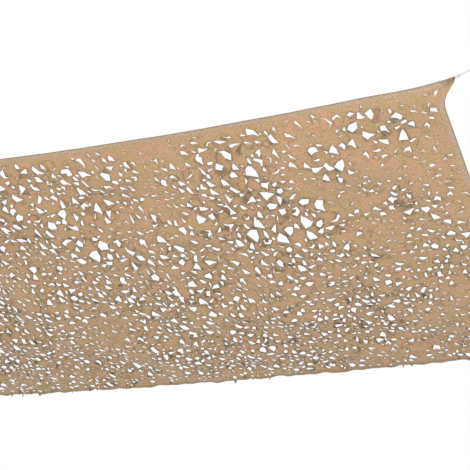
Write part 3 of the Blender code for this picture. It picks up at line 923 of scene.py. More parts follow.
@dataclass
class NetPanel:
    """The leaf-cut cloth: the panel with its openings, and the leaves that hang at them."""

    form: SailForm
    layout: LeafLayout
    seed: int = 7
    thickness: float = 0.0006
    panel_fold: float = 50.0
    leaf_fold: float = 60.0
    # the points of the flat net
    collar: float = 0.006
    collar_gap: float = 0.0054
    grid_pitch: float = 0.036
    grid_gap: float = 0.010
    grid_jitter: float = 0.2
    edge_step: float = 0.030
    edge_gap: float = 0.008
    loose_gap: float = 0.004
    long_leaf: float = 0.022
    long_leaf_points: tuple[float, ...] = (0.35, 0.7)
    short_leaf_points: tuple[float, ...] = (0.5,)
    merge_gap: float = 1e-7
    thinnest: float = 1e-12
    # how the rims droop, how far the leaves lean and how they curl
    rim_droop: float = 0.0040
    droop_shares: tuple[float, float] = (-0.5, 1.0)
    droop_sharpness: float = 1.5
    slackness: float = 1.20
    tautness: float = 1.9
    widest_lean: float = 53.5
    lean_shares: tuple[float, float] = (0.55, 1.35)
    cluster_lean: float = 0.28
    steepest: float = 62.0
    facing_loss: float = 18.0
    lowest_hang: float = 0.034
    least_room: float = 0.05
    hinge_shares: tuple[float, float] = (0.60, 0.90)
    raised_share: float = 0.04
    far_raised_share: float = 0.78
    raised_bend: float = -0.6
    twist: float = 0.22
    cups: tuple[float, float] = (-0.2, 0.5)
    shortest_reach: float = 0.001
    least_rate: float = 1e-3
    fringe_reach: float = 0.085
    fringe_share: float = 0.55
    fringe_lean: float = 80.0
    # how dark the painted shade at the cut rims and on the leaves is
    shut_shade: float = 0.44
    near_shade: float = 0.76
    far_side_shade: float = 1.30
    shade_growth: float = 1.3
    shade_reach: float = 0.0064
    strand_shade: float = 0.75
    rim_shades: tuple[float, float] = (0.75, 1.0)
    point_shades: tuple[float, float] = (0.65, 1.0)
    leaf_shades: tuple[float, float] = (0.35, 1.0)
    leaf_tip_shade: float = 0.9
    leaf_side_shade: float = 0.8
    leaf_shade_sharpness: float = 2.2
    fringe_shade: float = 0.75
    # painted shade along the low far edge
    far_edge_shade: float = 0.32
    # where the leaves are blown open or hang shut; a leaf never opens less than shut
    shut: float = 0.42
    # place x and y, reach along x and y, turn in degrees, gain
    airy: tuple = (
        (0.72, -0.94, 0.10, 0.06, 0.0, -0.60), (0.68, -0.73, 0.08, 0.12, 0.0, -0.50),
        (1.40, -0.85, 0.14, 0.06, 5.0, -0.60), (1.56, -0.88, 0.07, 0.07, 0.0, -0.60),
        (1.60, -0.95, 0.08, 0.04, 0.0, -0.50), (1.30, -0.95, 0.12, 0.05, 0.0, -0.50),
        (1.86, -0.94, 0.08, 0.05, 0.0, -0.60), (1.89, -0.15, 0.12, 0.10, 0.0, -0.50),
        (1.22, -0.77, 0.07, 0.06, 0.0, -0.90), (1.24, -0.89, 0.07, 0.05, 0.0, 0.90),
        (1.56, -0.73, 0.07, 0.07, 0.0, -0.90), (1.81, -0.70, 0.07, 0.05, 0.0, -0.60),
        (1.37, -0.46, 0.07, 0.08, 0.0, -2.40), (1.20, 0.33, 0.10, 0.10, 0.0, -0.40),
        (0.94, -0.42, 0.10, 0.07, 0.0, 0.95), (0.07, -0.93, 0.10, 0.06, 0.0, 1.20),
        (1.12, -0.63, 0.08, 0.07, 0.0, 0.75), (0.26, -0.39, 0.09, 0.08, 0.0, -0.45),
        (0.90, -0.06, 0.09, 0.08, 0.0, -0.60), (0.77, 0.13, 0.10, 0.08, 0.0, -0.55),
        (0.01, 0.46, 0.10, 0.10, 0.0, -0.55), (0.66, 0.94, 0.12, 0.06, 0.0, -0.60),
        (0.44, -0.14, 0.08, 0.08, 0.0, -0.40), (0.42, 0.37, 0.09, 0.08, 0.0, -0.40),
        (1.44, -0.95, 0.07, 0.05, 0.0, -0.60), (0.09, -0.05, 0.10, 0.10, 0.0, -0.40),
        (0.45, -0.31, 0.08, 0.09, 0.0, -1.50), (0.32, -0.96, 0.08, 0.04, 0.0, 1.40),
        (0.43, -0.88, 0.10, 0.07, 0.0, -1.70), (0.28, -0.90, 0.12, 0.06, 0.0, -0.50),
        (0.37, -0.63, 0.07, 0.07, 0.0, 2.40), (0.18, -0.64, 0.06, 0.05, 0.0, -0.70),
        (0.87, -0.06, 0.08, 0.08, 0.0, -0.60), (0.93, -0.41, 0.08, 0.08, 0.0, 2.60),
        (-0.19, 0.22, 0.10, 0.10, 0.0, -0.45), (-1.06, 0.90, 0.22, 0.14, 0.0, -0.90),
        (1.76, -0.26, 0.07, 0.08, 0.0, -0.50), (0.14, 0.71, 0.10, 0.10, 0.0, -0.45),
        (0.33, 0.48, 0.10, 0.09, 0.0, -0.45), (-0.52, 0.76, 0.12, 0.10, 0.0, -0.55),
        (1.11, -0.64, 0.07, 0.06, 0.0, 1.60), (0.12, -0.31, 0.08, 0.08, 0.0, -0.80),
        (0.56, 0.24, 0.10, 0.10, 0.0, -0.75), (-0.06, 0.62, 0.16, 0.14, 0.0, -0.60),
        (-0.41, 0.65, 0.14, 0.12, 0.0, -0.50), (1.35, -0.63, 0.06, 0.09, 0.0, -0.70),
        (0.49, -0.55, 0.08, 0.09, 0.0, -0.70), (1.46, -0.40, 0.08, 0.09, 0.0, -0.75),
        (1.54, -0.22, 0.10, 0.10, 0.0, -0.60), (1.93, -0.80, 0.08, 0.15, 0.0, -2.20),
        (1.69, 0.00, 0.08, 0.09, 0.0, -0.60), (0.38, -0.86, 0.06, 0.05, 0.0, -0.80),
        (0.74, -0.43, 0.08, 0.08, 0.0, -0.55), (-0.97, 0.80, 0.14, 0.10, 0.0, -0.60),
        (0.54, 0.21, 0.09, 0.09, 0.0, -0.45), (0.02, 0.92, 0.16, 0.07, 0.0, -0.60),
        (1.36, -0.73, 0.06, 0.06, 0.0, -0.80), (0.56, -0.59, 0.08, 0.08, 0.0, -0.60),
        (1.07, -0.40, 0.06, 0.07, 0.0, -1.00), (1.93, -0.42, 0.07, 0.12, 0.0, -0.90),
        (1.80, 0.30, 0.08, 0.10, 0.0, -0.70), (1.76, 0.50, 0.12, 0.12, 0.0, -0.60),
        (1.55, 0.02, 0.09, 0.12, 0.0, -0.60), (1.28, -0.05, 0.10, 0.10, 0.0, -0.60),
        (0.03, -0.41, 0.09, 0.07, 0.0, -0.60), (0.89, -0.22, 0.08, 0.07, 0.0, -0.60),
        (0.95, -0.84, 0.07, 0.07, 0.0, -0.50), (0.70, -0.38, 0.08, 0.06, 0.0, -0.50),
        (0.47, -0.12, 0.12, 0.10, 0.0, -0.50), (-0.06, 0.28, 0.16, 0.14, 0.0, -0.50),
        (-0.20, 0.46, 0.14, 0.10, 0.0, -0.50), (-0.35, -0.20, 0.10, 0.14, 0.0, -0.50),
        (-0.55, 0.90, 0.20, 0.08, 0.0, -0.55), (0.45, 0.93, 0.36, 0.06, 0.0, -0.55),
        (1.32, 0.84, 0.42, 0.17, 0.0, -0.75), (1.24, -0.44, 0.20, 0.09, 25.0, 2.00),
        (1.00, -0.38, 0.20, 0.07, 10.0, 1.80), (1.16, -0.67, 0.10, 0.08, 30.0, 1.60),
        (1.15, -0.18, 0.09, 0.07, 0.0, 1.20), (0.90, -0.62, 0.07, 0.12, 0.0, 1.20),
        (1.50, -0.72, 0.08, 0.08, 0.0, 1.60), (1.71, -0.91, 0.08, 0.06, 0.0, 0.50),
        (1.80, -0.80, 0.09, 0.07, 0.0, 2.80), (0.08, -0.93, 0.09, 0.06, 0.0, 3.60),
        (1.72, -0.48, 0.08, 0.08, 0.0, 0.90), (1.79, 0.08, 0.08, 0.10, 0.0, 0.90),
        (0.60, -0.02, 0.10, 0.07, 0.0, 1.10), (0.29, -0.37, 0.12, 0.06, 15.0, 1.10),
        (0.34, -0.68, 0.09, 0.07, 0.0, 1.20), (0.14, -0.58, 0.12, 0.07, 20.0, 1.20),
        (-0.03, -0.74, 0.10, 0.08, 0.0, 0.90), (-0.08, -0.12, 0.10, 0.10, 0.0, 0.70),
        (0.57, -0.87, 0.07, 0.06, 0.0, 0.80),
    )
    cuts: list = field(init=False)
    centres: np.ndarray = field(init=False)
    stretch: np.ndarray = field(init=False)
    sizes: np.ndarray = field(init=False)
    turns: np.ndarray = field(init=False)
    shapes: np.ndarray = field(init=False)
    airing: np.ndarray = field(init=False)
    opened: np.ndarray = field(init=False)
    fringed: np.ndarray = field(init=False)
    flat: np.ndarray = field(init=False)
    owner: np.ndarray = field(init=False)
    hinges: np.ndarray = field(init=False)

    def __post_init__(self) -> None:
        """Settles the layout of the cuts and tables their measures."""
        self.cuts = self.layout.cuts()
        order = {shape: number for number, shape in enumerate(LeafShape)}
        self.centres = np.array([(cut.x, cut.y) for cut in self.cuts])
        self.stretch = np.array([1.0, self.layout.stretch])
        self.sizes = np.array([(cut.length, cut.width) for cut in self.cuts])
        self.turns = np.array([cut.turn for cut in self.cuts])
        self.shapes = np.array([order[cut.shape] for cut in self.cuts])
        gains = np.array([patch_gain(self.airy, cut.x, cut.y) for cut in self.cuts])
        self.airing = np.maximum(self.shut, 1.0 + gains)
        gape = np.array([cut.gape for cut in self.cuts])
        self.opened = 1.0 - np.exp(-self.slackness * (gape * self.airing) ** self.tautness)
        draw = random.Random(self.seed + 5)
        near_far_edge = self.form.far_distance(self.centres) < self.fringe_reach
        self.fringed = near_far_edge & [draw.random() < self.fringe_share for _ in self.cuts]

    def local_to(self, points: np.ndarray, cut_of: np.ndarray) -> np.ndarray:
        """Points of the flat cloth as (along, across) shares of their cuts' outlines.

        Args:
            points: The points, one to a row.
            cut_of: The number of the cut of each.

        Returns:
            Their shares, one point to a row.
        """
        offset = (points - self.centres[cut_of]) / self.stretch
        cos, sin = np.cos(self.turns[cut_of]), np.sin(self.turns[cut_of])
        along = (offset[:, 0] * cos + offset[:, 1] * sin) / self.sizes[cut_of, 0] + 0.5
        across = (offset[:, 1] * cos - offset[:, 0] * sin) / self.sizes[cut_of, 1]
        return np.stack([along, across], axis=1)

    def local_of(self, rows: np.ndarray) -> np.ndarray:
        """Points of the cuts as (along, across) shares of their outlines."""
        return self.local_to(self.flat[rows], self.owner[rows])

    def inside_cut(self, points: np.ndarray, cut_of: np.ndarray) -> np.ndarray:
        """Whether each point of the flat cloth is inside the cut named for it.

        Args:
            points: The points, one to a row.
            cut_of: The number of the cut of each.

        Returns:
            True for each point that is inside.
        """
        inside = np.zeros(len(points), bool)
        local = self.local_to(points, cut_of)
        along, across = local[:, 0], local[:, 1]
        for number, shape in enumerate(LeafShape):
            rows = np.flatnonzero(self.shapes[cut_of] == number)
            if not len(rows):
                continue
            odd = np.zeros(len(rows), bool)
            outline = list(shape.value)
            for (a0, c0), (a1, c1) in zip(outline, outline[1:] + outline[:1]):
                spans = (c0 > across[rows]) != (c1 > across[rows])
                if c0 != c1:
                    where = a0 + (across[rows] - c0) * (a1 - a0) / (c1 - c0)
                    odd ^= spans & (along[rows] < where)
            inside[rows] = odd
        return inside

    def lay_loose_points(self, net: FlatNet) -> None:
        """Adds the loose points of the cloth: a collar round every cut, then a rough grid.

        Args:
            net: The net with the outlines of its cuts laid.
        """
        rims, centres = nearest_tree(net.spots), nearest_tree(self.centres)
        reach = self.layout.longest * self.layout.stretch
        half_length, half_width = self.form.half
        taken: set = set()

        def clear(spot: tuple, gap: float) -> bool:
            """Whether a point stands on the cloth and clear of every cut's rim.

            Args:
                spot: The point.
                gap: The room that it needs from every rim.

            Returns:
                True where it is clear.
            """
            if rims.find((*spot, 0.0))[2] < gap:
                return False
            near = [i for _, i, _ in centres.find_range((*spot, 0.0), reach)]
            spots = np.repeat([spot], len(near), axis=0)
            return not near or not self.inside_cut(spots, np.array(near)).any()

        def add(spot: tuple, gap: float) -> None:
            """Adds a point where there is room for it.

            Args:
                spot: The point.
                gap: The room that it needs from every rim.
            """
            if abs(spot[0]) >= half_length - self.edge_gap:
                return
            if abs(spot[1]) >= half_width - self.edge_gap:
                return
            cell = (round(spot[0] / self.loose_gap), round(spot[1] / self.loose_gap))
            if cell not in taken and clear(spot, gap):
                taken.add(cell)
                net.add(spot)

        for cut in self.cuts:
            middle = np.array([cut.x, cut.y])
            for corner in cut.to_flat(cut.local()):
                away = corner - middle
                spot = middle + away * (1 + self.collar / np.linalg.norm(away))
                add(tuple(spot), self.collar_gap)
        draw = random.Random(self.seed)
        jitter = self.grid_jitter
        for column in range(1, round(self.form.length / self.grid_pitch)):
            for row in range(1, round(self.form.width / self.grid_pitch)):
                x = -half_length + (column + draw.uniform(-jitter, jitter)) * self.grid_pitch
                y = -half_width + (row + draw.uniform(-jitter, jitter)) * self.grid_pitch
                add((x, y), self.grid_gap)

    def edge_spots(self) -> list[tuple[float, float]]:
        """Points round the four edges of the cloth, from its near left corner.

        Returns:
            The points, in order.
        """
        half_length, half_width = self.form.half
        spots = []
        for side in range(4):
            long = side % 2 == 0
            count = round(2 * (half_length if long else half_width) / self.edge_step)
            fixed = -1 if side in (0, 3) else 1
            for step in range(count):
                along = (2 * step / count - 1) * (1 if side < 2 else -1)
                x, y = (along, fixed) if long else (fixed, along)
                spots.append((x * half_length, y * half_width))
        return spots

    def lay_points(self) -> FlatNet:
        """Lays out the points and the fixed lines of the flat net.

        Returns:
            The net before it is filled with triangles.
        """
        net = FlatNet()
        hinges = []
        for number, cut in enumerate(self.cuts):
            outline = cut.to_flat(cut.local())
            hinges.append((len(net.spots), len(net.spots) + len(outline) - 1))
            net.add_ring(outline, number)
        self.hinges = np.array(hinges)
        self.lay_loose_points(net)
        net.add_ring(self.edge_spots())
        for number, cut in enumerate(self.cuts):
            long = cut.length > self.long_leaf
            for share in self.long_leaf_points if long else self.short_leaf_points:
                spot = cut.to_flat(np.array([[(share - 0.5) * cut.length, 0.0]]))
                if self.inside_cut(spot, np.array([number]))[0]:
                    net.add(spot[0], number)
        return net

    def triangulate(self) -> tuple[np.ndarray, np.ndarray]:
        """Fills the flat net with triangles.

        Returns:
            The triangles of the panel and those of the leaves, as point numbers.
        """
        net = self.lay_points()
        spots = [Vector(spot) for spot in net.spots]
        found = delaunay_2d_cdt(spots, net.lines, [], 0, self.merge_gap, True)
        flat = np.array([tuple(spot) for spot in found[0]])
        owner = np.full(len(flat), -1)
        number = np.full(len(net.spots), -1)
        for index, source in enumerate(found[3]):
            if source:
                owner[index] = net.owners[source[0]]
                number[source] = index
        self.flat, self.owner, self.hinges = flat, owner, number[self.hinges]
        faces = np.array([triangle for triangle in found[2] if len(triangle) == 3])
        a, b, c = (flat[faces[:, k]] for k in range(3))
        area = (b[:, 0] - a[:, 0]) * (c[:, 1] - a[:, 1])
        area -= (b[:, 1] - a[:, 1]) * (c[:, 0] - a[:, 0])
        faces = np.where((area < 0)[:, None], faces[:, ::-1], faces)
        faces = faces[np.abs(area) > self.thinnest]
        owners = owner[faces]
        rows = np.flatnonzero((owners[:, 0] >= 0) & (owners == owners[:, :1]).all(axis=1))
        leafy = np.zeros(len(faces), bool)
        leafy[rows] = self.inside_cut(flat[faces[rows]].mean(axis=1), owners[rows, 0])
        return faces[~leafy], faces[leafy]

    def panel_places(self) -> np.ndarray:
        """Where every point of the flat net hangs.

        Returns:
            The places, one to a row.
        """
        draw = random.Random(self.seed + 1)
        droop = np.array([draw.uniform(*self.droop_shares) for _ in self.cuts]) * self.rim_droop
        rows = np.flatnonzero(self.owner >= 0)
        along = np.clip(self.local_of(rows)[:, 0], 0, 1)
        lift = np.zeros(len(self.flat))
        lift[rows] -= droop[self.owner[rows]] * along ** self.droop_sharpness
        return self.form.surface(self.flat, lift)

    def cut_shade(self) -> np.ndarray:
        """How strong the painted shade at each cut is: less where it hangs shut, and growing from
        the near edge towards the far one.

        Returns:
            The strength of each cut's painted shade, 1 for the usual.
        """
        across = np.clip(self.centres[:, 1] / self.form.width + 0.5, 0.0, 1.0)
        gain = self.far_side_shade - self.near_shade
        far_share = self.near_shade + gain * np.minimum(1.0, self.shade_growth * across)
        return far_share * (self.shut_shade + (1.0 - self.shut_shade) * self.opened)

    def rim_shade(self) -> np.ndarray:
        """How dark the painted shade is at every point of the flat net: round the cut rims, along
        the far edge and on the tips.

        Returns:
            How dark each point looks, from 0 to 1.
        """
        draw = random.Random(self.seed + 3)
        cut = [draw.uniform(*self.rim_shades) * share for share in self.cut_shade()]
        shade_depth = np.array([draw.uniform(*self.point_shades) for _ in self.flat])
        rim_rows = np.flatnonzero(self.owner >= 0)
        rims = nearest_tree(self.flat[rim_rows])
        for index, owner in enumerate(self.owner):
            if owner < 0:
                _, rim, away = rims.find((*self.flat[index], 0.0))
                owner = self.owner[rim_rows[rim]]
                # painted shade on the strands, fading away from the nearest rim
                shade_depth[index] *= self.strand_shade * math.exp(-((away / self.shade_reach) ** 2))
            shade_depth[index] *= cut[owner]
        # painted shade along the low far edge and on the rolled tips
        shade_depth = np.maximum(shade_depth, self.far_edge_shade * self.form.far_shade(self.flat))
        tips = self.form.corner_darkening(self.flat)
        return np.maximum(shade_depth, np.where(tips > self.form.corner_dark, tips, 0.0))

    def leaf_shade(self, rows: np.ndarray) -> np.ndarray:
        """How dark the painted shade on the leaves is: more so towards their tips and rims.

        Args:
            rows: Numbers of the leaves' points.

        Returns:
            How dark each of the points looks.
        """
        draw = random.Random(self.seed + 4)
        cut = np.array([draw.uniform(*self.leaf_shades) for _ in self.cuts]) * self.cut_shade()
        # painted shade on the fringe leaves that hang at the far edge
        cut = np.where(self.fringed, self.fringe_shade, cut)
        along, across = self.local_of(rows).T
        outer = along * self.leaf_tip_shade + np.abs(across) * self.leaf_side_shade
        return cut[self.owner[rows]] * np.clip(outer, 0, 1) ** self.leaf_shade_sharpness

    def leaf_bends(self, places: np.ndarray) -> np.ndarray:
        """How each leaf hangs.

        Args:
            places: Where every point of the panel hangs.

        Returns:
            Four rows: the bend at the hinge, the curl to the tip, the twist and the cup.
        """
        draw = random.Random(self.seed + 2)
        lowest = min(tip[2] for _, tip in self.form.tips) - self.lowest_hang
        bends = np.zeros((4, len(self.cuts)))
        for i, cut in enumerate(self.cuts):
            blown = 1.0 + self.cluster_lean * min(max(self.airing[i] - 1.0, 0.0), 1.0)
            lean = math.radians(self.widest_lean) * self.opened[i]
            lean *= draw.uniform(*self.lean_shares)
            steepest = self.steepest - self.facing_loss * abs(math.sin(cut.turn))
            lean = blown * min(lean, math.radians(steepest))
            if self.fringed[i]:
                lean = math.radians(self.fringe_lean)
            room = (places[self.hinges[i, 0], 2] - lowest) / (cut.length * cut.stretch)
            lean = min(lean, math.asin(min(1.0, max(self.least_room, room))))
            bend = lean * draw.uniform(*self.hinge_shares)
            curl = 2.0 * (lean - bend)
            raised = self.far_raised_share if math.sin(cut.turn) > 0 else self.raised_share
            if draw.random() < raised and not self.fringed[i]:
                bend *= self.raised_bend * blown
                curl *= self.raised_bend * blown
            bends[:, i] = bend, curl, draw.gauss(0.0, self.twist), draw.uniform(*self.cups)
        return bends

    def leaf_places(self, rows: np.ndarray, places: np.ndarray) -> np.ndarray:
        """Where the points of the leaves hang, bent down from their hinges and curled.

        Args:
            rows: Numbers of the leaves' points.
            places: Where every point of the panel hangs.

        Returns:
            Their places, one to a row.
        """
        cut_of = self.owner[rows]
        start, last = (places[ends] for ends in self.hinges.T)
        flat_start, flat_last = (self.flat[ends] for ends in self.hinges.T)
        up = self.form.upward((flat_start + flat_last) / 2)
        hinge, hinge_length = directions(last - start)
        tipward, _ = directions(np.cross(hinge, up))
        hinge, tipward, up = hinge[cut_of], tipward[cut_of], up[cut_of]
        line, line_length = directions(flat_last - flat_start)
        line = line[cut_of]
        offset = self.flat[rows] - flat_start[cut_of]
        share = (offset * line).sum(axis=1) / line_length[cut_of]
        base = start[cut_of] + hinge * (share * hinge_length[cut_of])[:, None]
        run = np.clip(offset[:, 0] * line[:, 1] - offset[:, 1] * line[:, 0], 0, None)
        reach = np.full(len(self.cuts), self.shortest_reach)
        np.maximum.at(reach, cut_of, run)
        bend, curl, twist, cup = self.leaf_bends(places)[:, cut_of]
        rate = curl / reach[cut_of]
        rate = np.where(np.abs(rate) < self.least_rate, self.least_rate, rate)
        first = bend + twist * (share - 0.5)
        final = first + rate * run
        out = (np.sin(final) - np.sin(first)) / rate
        down = (np.cos(first) - np.cos(final)) / rate + cup * (share - 0.5) ** 2 * run
        return base + tipward * out[:, None] - up * down[:, None]

    def piece(
        self, name: str, faces: np.ndarray, places: np.ndarray, shade_depth: np.ndarray,
        cloth: list, fold: float,
    ) -> bpy.types.Object:
        """Makes one piece of the net.

        Args:
            name: The piece's name.
            faces: Its triangles, as point numbers of the flat net.
            places: Where its points hang, in the order of their numbers.
            shade_depth: How dark their painted shade is.
            cloth: The materials of the upper and the lower side.
            fold: The angle of fold that is shaded sharp, in degrees.

        Returns:
            The piece, riding on the sail.
        """
        used = np.unique(faces)
        piece = new_piece(name, places, np.searchsorted(used, faces).tolist(), cloth)
        set_cloth_map(piece, self.flat[used], self.form)
        set_painted_shade(piece, shade_depth)
        thicken(piece, self.thickness)
        smooth(piece, fold)
        ride(piece)
        return piece

    def build(self, cloth: list) -> tuple[bpy.types.Object, bpy.types.Object]:
        """Builds the panel and its leaves.

        Args:
            cloth: The materials of the upper and the lower side.

        Returns:
            The panel and the joined leaves.
        """
        panel_faces, leaf_faces = self.triangulate()
        places = self.panel_places()
        used = np.unique(panel_faces)
        panel = self.piece(
            "net_panel", panel_faces, places[used], self.rim_shade()[used], cloth, self.panel_fold
        )
        used = np.unique(leaf_faces)
        leaves = self.piece(
            "net_leaves", leaf_faces, self.leaf_places(used, places), self.leaf_shade(used),
            cloth, self.leaf_fold,
        )
        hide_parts("net")
        return panel, leaves


@dataclass
class Hem:
    """The folded hem: a band sewn round all four edges, with its row of stitches."""

    form: SailForm
    width: float
    seed: int = 23
    step: float = 0.022
    lift: float = 0.0011
    roll: float = 0.0022
    pucker: float = 0.25
    pucker_shift: float = 0.0008
    pucker_inset: float = 0.020
    # painted shade along the low far edge
    far_edge_shade: float = 0.48
    fold: float = 60.0
    stitch_length: float = 0.0050
    stitch_pitch: float = 0.0075
    stitch_width: float = 0.0011
    stitch_inset: float = 0.004
    stitch_lift: float = 1.05
    # aside and rise, in half widths of the stitch
    stitch_section: tuple = ((-1, 0.0), (-0.55, 0.8), (0.55, 0.8), (1, 0.0), (0.0, -0.5))
    # place along the stitch and thickness, as shares
    stitch_rings: tuple = ((-0.5, 0.35), (-0.25, 1.0), (0.25, 1.0), (0.5, 0.35))

    def profile(self) -> list[tuple[float, float, float]]:
        """The band's section.

        Returns:
            The section's points, from the inner edge round the fold and back: for each, its
            distance inside the edge, its height and how dark the painted shade round the fold is.
        """
        lift, roll, width = self.lift, self.roll, self.width
        return [
            (width, 0.5 * lift, 0.0), (width * 0.97, lift, 0.0), (width * 0.5, lift * 1.2, 0.0),
            (0.005, roll * 0.9, 0.1), (0.0010, roll * 0.95, 0.5), (-0.0012, roll * 0.5, 0.6),
            (-0.0018, 0.0, 0.6), (-0.0012, -roll * 0.5, 0.6), (0.0010, -roll * 0.95, 0.5),
            (0.005, -roll * 0.9, 0.1), (0.009, -lift * 1.4, 0.0), (width * 0.5, -lift * 1.2, 0.0),
            (width * 0.97, -lift, 0.0), (width, -0.5 * lift, 0.0),
        ]

    def run(self, side: int) -> tuple[np.ndarray, np.ndarray, float]:
        """One edge of the flat cloth.

        Args:
            side: The edge's number, from the near edge anticlockwise as seen from above.

        Returns:
            Its start corner, its direction and its length.
        """
        signs = ((-1, -1), (1, -1), (1, 1), (-1, 1))
        start, stop = (np.array(signs[(side + k) % 4]) * self.form.half for k in (0, 1))
        length = float(np.linalg.norm(stop - start))
        return start, (stop - start) / length, length

    def spots(self, table: list) -> np.ndarray:
        """Finds points of the flat cloth by their place at its edges.

        Args:
            table: A row for each point: edge, run along it, distance inside it.

        Returns:
            The points, one to a row.
        """
        side, along, inside = np.array(table).T
        flat = np.zeros((len(table), 2))
        for number in range(4):
            rows = side == number
            start, heading, _ = self.run(number)
            inward = np.array([-heading[1], heading[0]])
            flat[rows] = start + along[rows, None] * heading + inside[rows, None] * inward
        return flat

    def band(self, cloth: bpy.types.Material) -> bpy.types.Object:
        """Builds the folded band, mitred at the corners.

        Args:
            cloth: The material of the folded cloth.

        Returns:
            The band.
        """
        draw = random.Random(self.seed)
        section = self.profile()
        table, heights, painted_shade, faces = [], [], [], []
        for side in range(4):
            length = self.run(side)[2]
            count = round(length / self.step)
            faces += tube_faces(count + 1, len(section), len(table))
            for step in range(count + 1):
                pucker = draw.uniform(-1.0, 1.0)
                for inside, height, shade_depth in section:
                    mitre = max(inside, 0.0)
                    along = mitre + (length - 2 * mitre) * step / count
                    shift = self.pucker_shift * pucker * (inside > self.pucker_inset)
                    table.append((side, along, inside + shift))
                    heights.append(height * (1 + self.pucker * pucker))
                    painted_shade.append(shade_depth)
        flat = self.spots(table)
        places = self.form.surface(flat, np.array(heights))
        band = new_piece("net_hem", places, faces, [cloth])
        set_cloth_map(band, flat, self.form)
        far_edge_shade = self.far_edge_shade * self.form.far_shade(flat)
        # painted shade round the rolled fold, along the far edge and on the tips
        set_painted_shade(band, np.maximum.reduce([painted_shade, far_edge_shade, self.form.corner_darkening(flat)]))
        mesh = bmesh.new()
        mesh.from_mesh(band.data)
        bmesh.ops.recalc_face_normals(mesh, faces=mesh.faces[:])
        mesh.to_mesh(band.data)
        mesh.free()
        smooth(band, self.fold)
        return band

    def stitches(self, thread: bpy.types.Material) -> bpy.types.Object:
        """Builds the row of stitches along the hem's inner edge, on both sides of it.

        Args:
            thread: The material of the thread.

        Returns:
            The stitches, joined.
        """
        table, heights, faces = [], [], []
        inset = self.width - self.stitch_inset
        rings, count = len(self.stitch_rings), len(self.stitch_section)
        for side in range(4):
            length = self.run(side)[2]
            for number in range(int((length - 2 * inset) / self.stitch_pitch)):
                middle = inset + (number + 0.5) * self.stitch_pitch
                for face in (1, -1):
                    base = len(table)
                    for share, swell in self.stitch_rings:
                        along = middle + share * self.stitch_length
                        radius = swell * self.stitch_width / 2
                        for aside, rise in self.stitch_section:
                            table.append((side, along, inset + aside * radius))
                            heights.append(face * (self.lift * self.stitch_lift + rise * radius))
                    solid = tube_faces(rings, count, base)
                    solid.append(tuple(reversed(range(base, base + count))))
                    solid.append(tuple(range(base + (rings - 1) * count, base + rings * count)))
                    faces += solid if face < 0 else [corners[::-1] for corners in solid]
        places = self.form.surface(self.spots(table), np.array(heights))
        row = new_piece("hem_stitches", places, faces, [thread])
        smooth(row, self.fold)
        return row

    def build(
        self, cloth: bpy.types.Material, thread: bpy.types.Material
    ) -> list[bpy.types.Object]:
        """Builds the band and its stitches.

        Args:
            cloth: The material of the folded cloth.
            thread: The material of the thread.

        Returns:
            The band and the stitches.
        """
        sewn = [self.band(cloth), self.stitches(thread)]
        for piece in sewn:
            ride(piece)
        return sewn


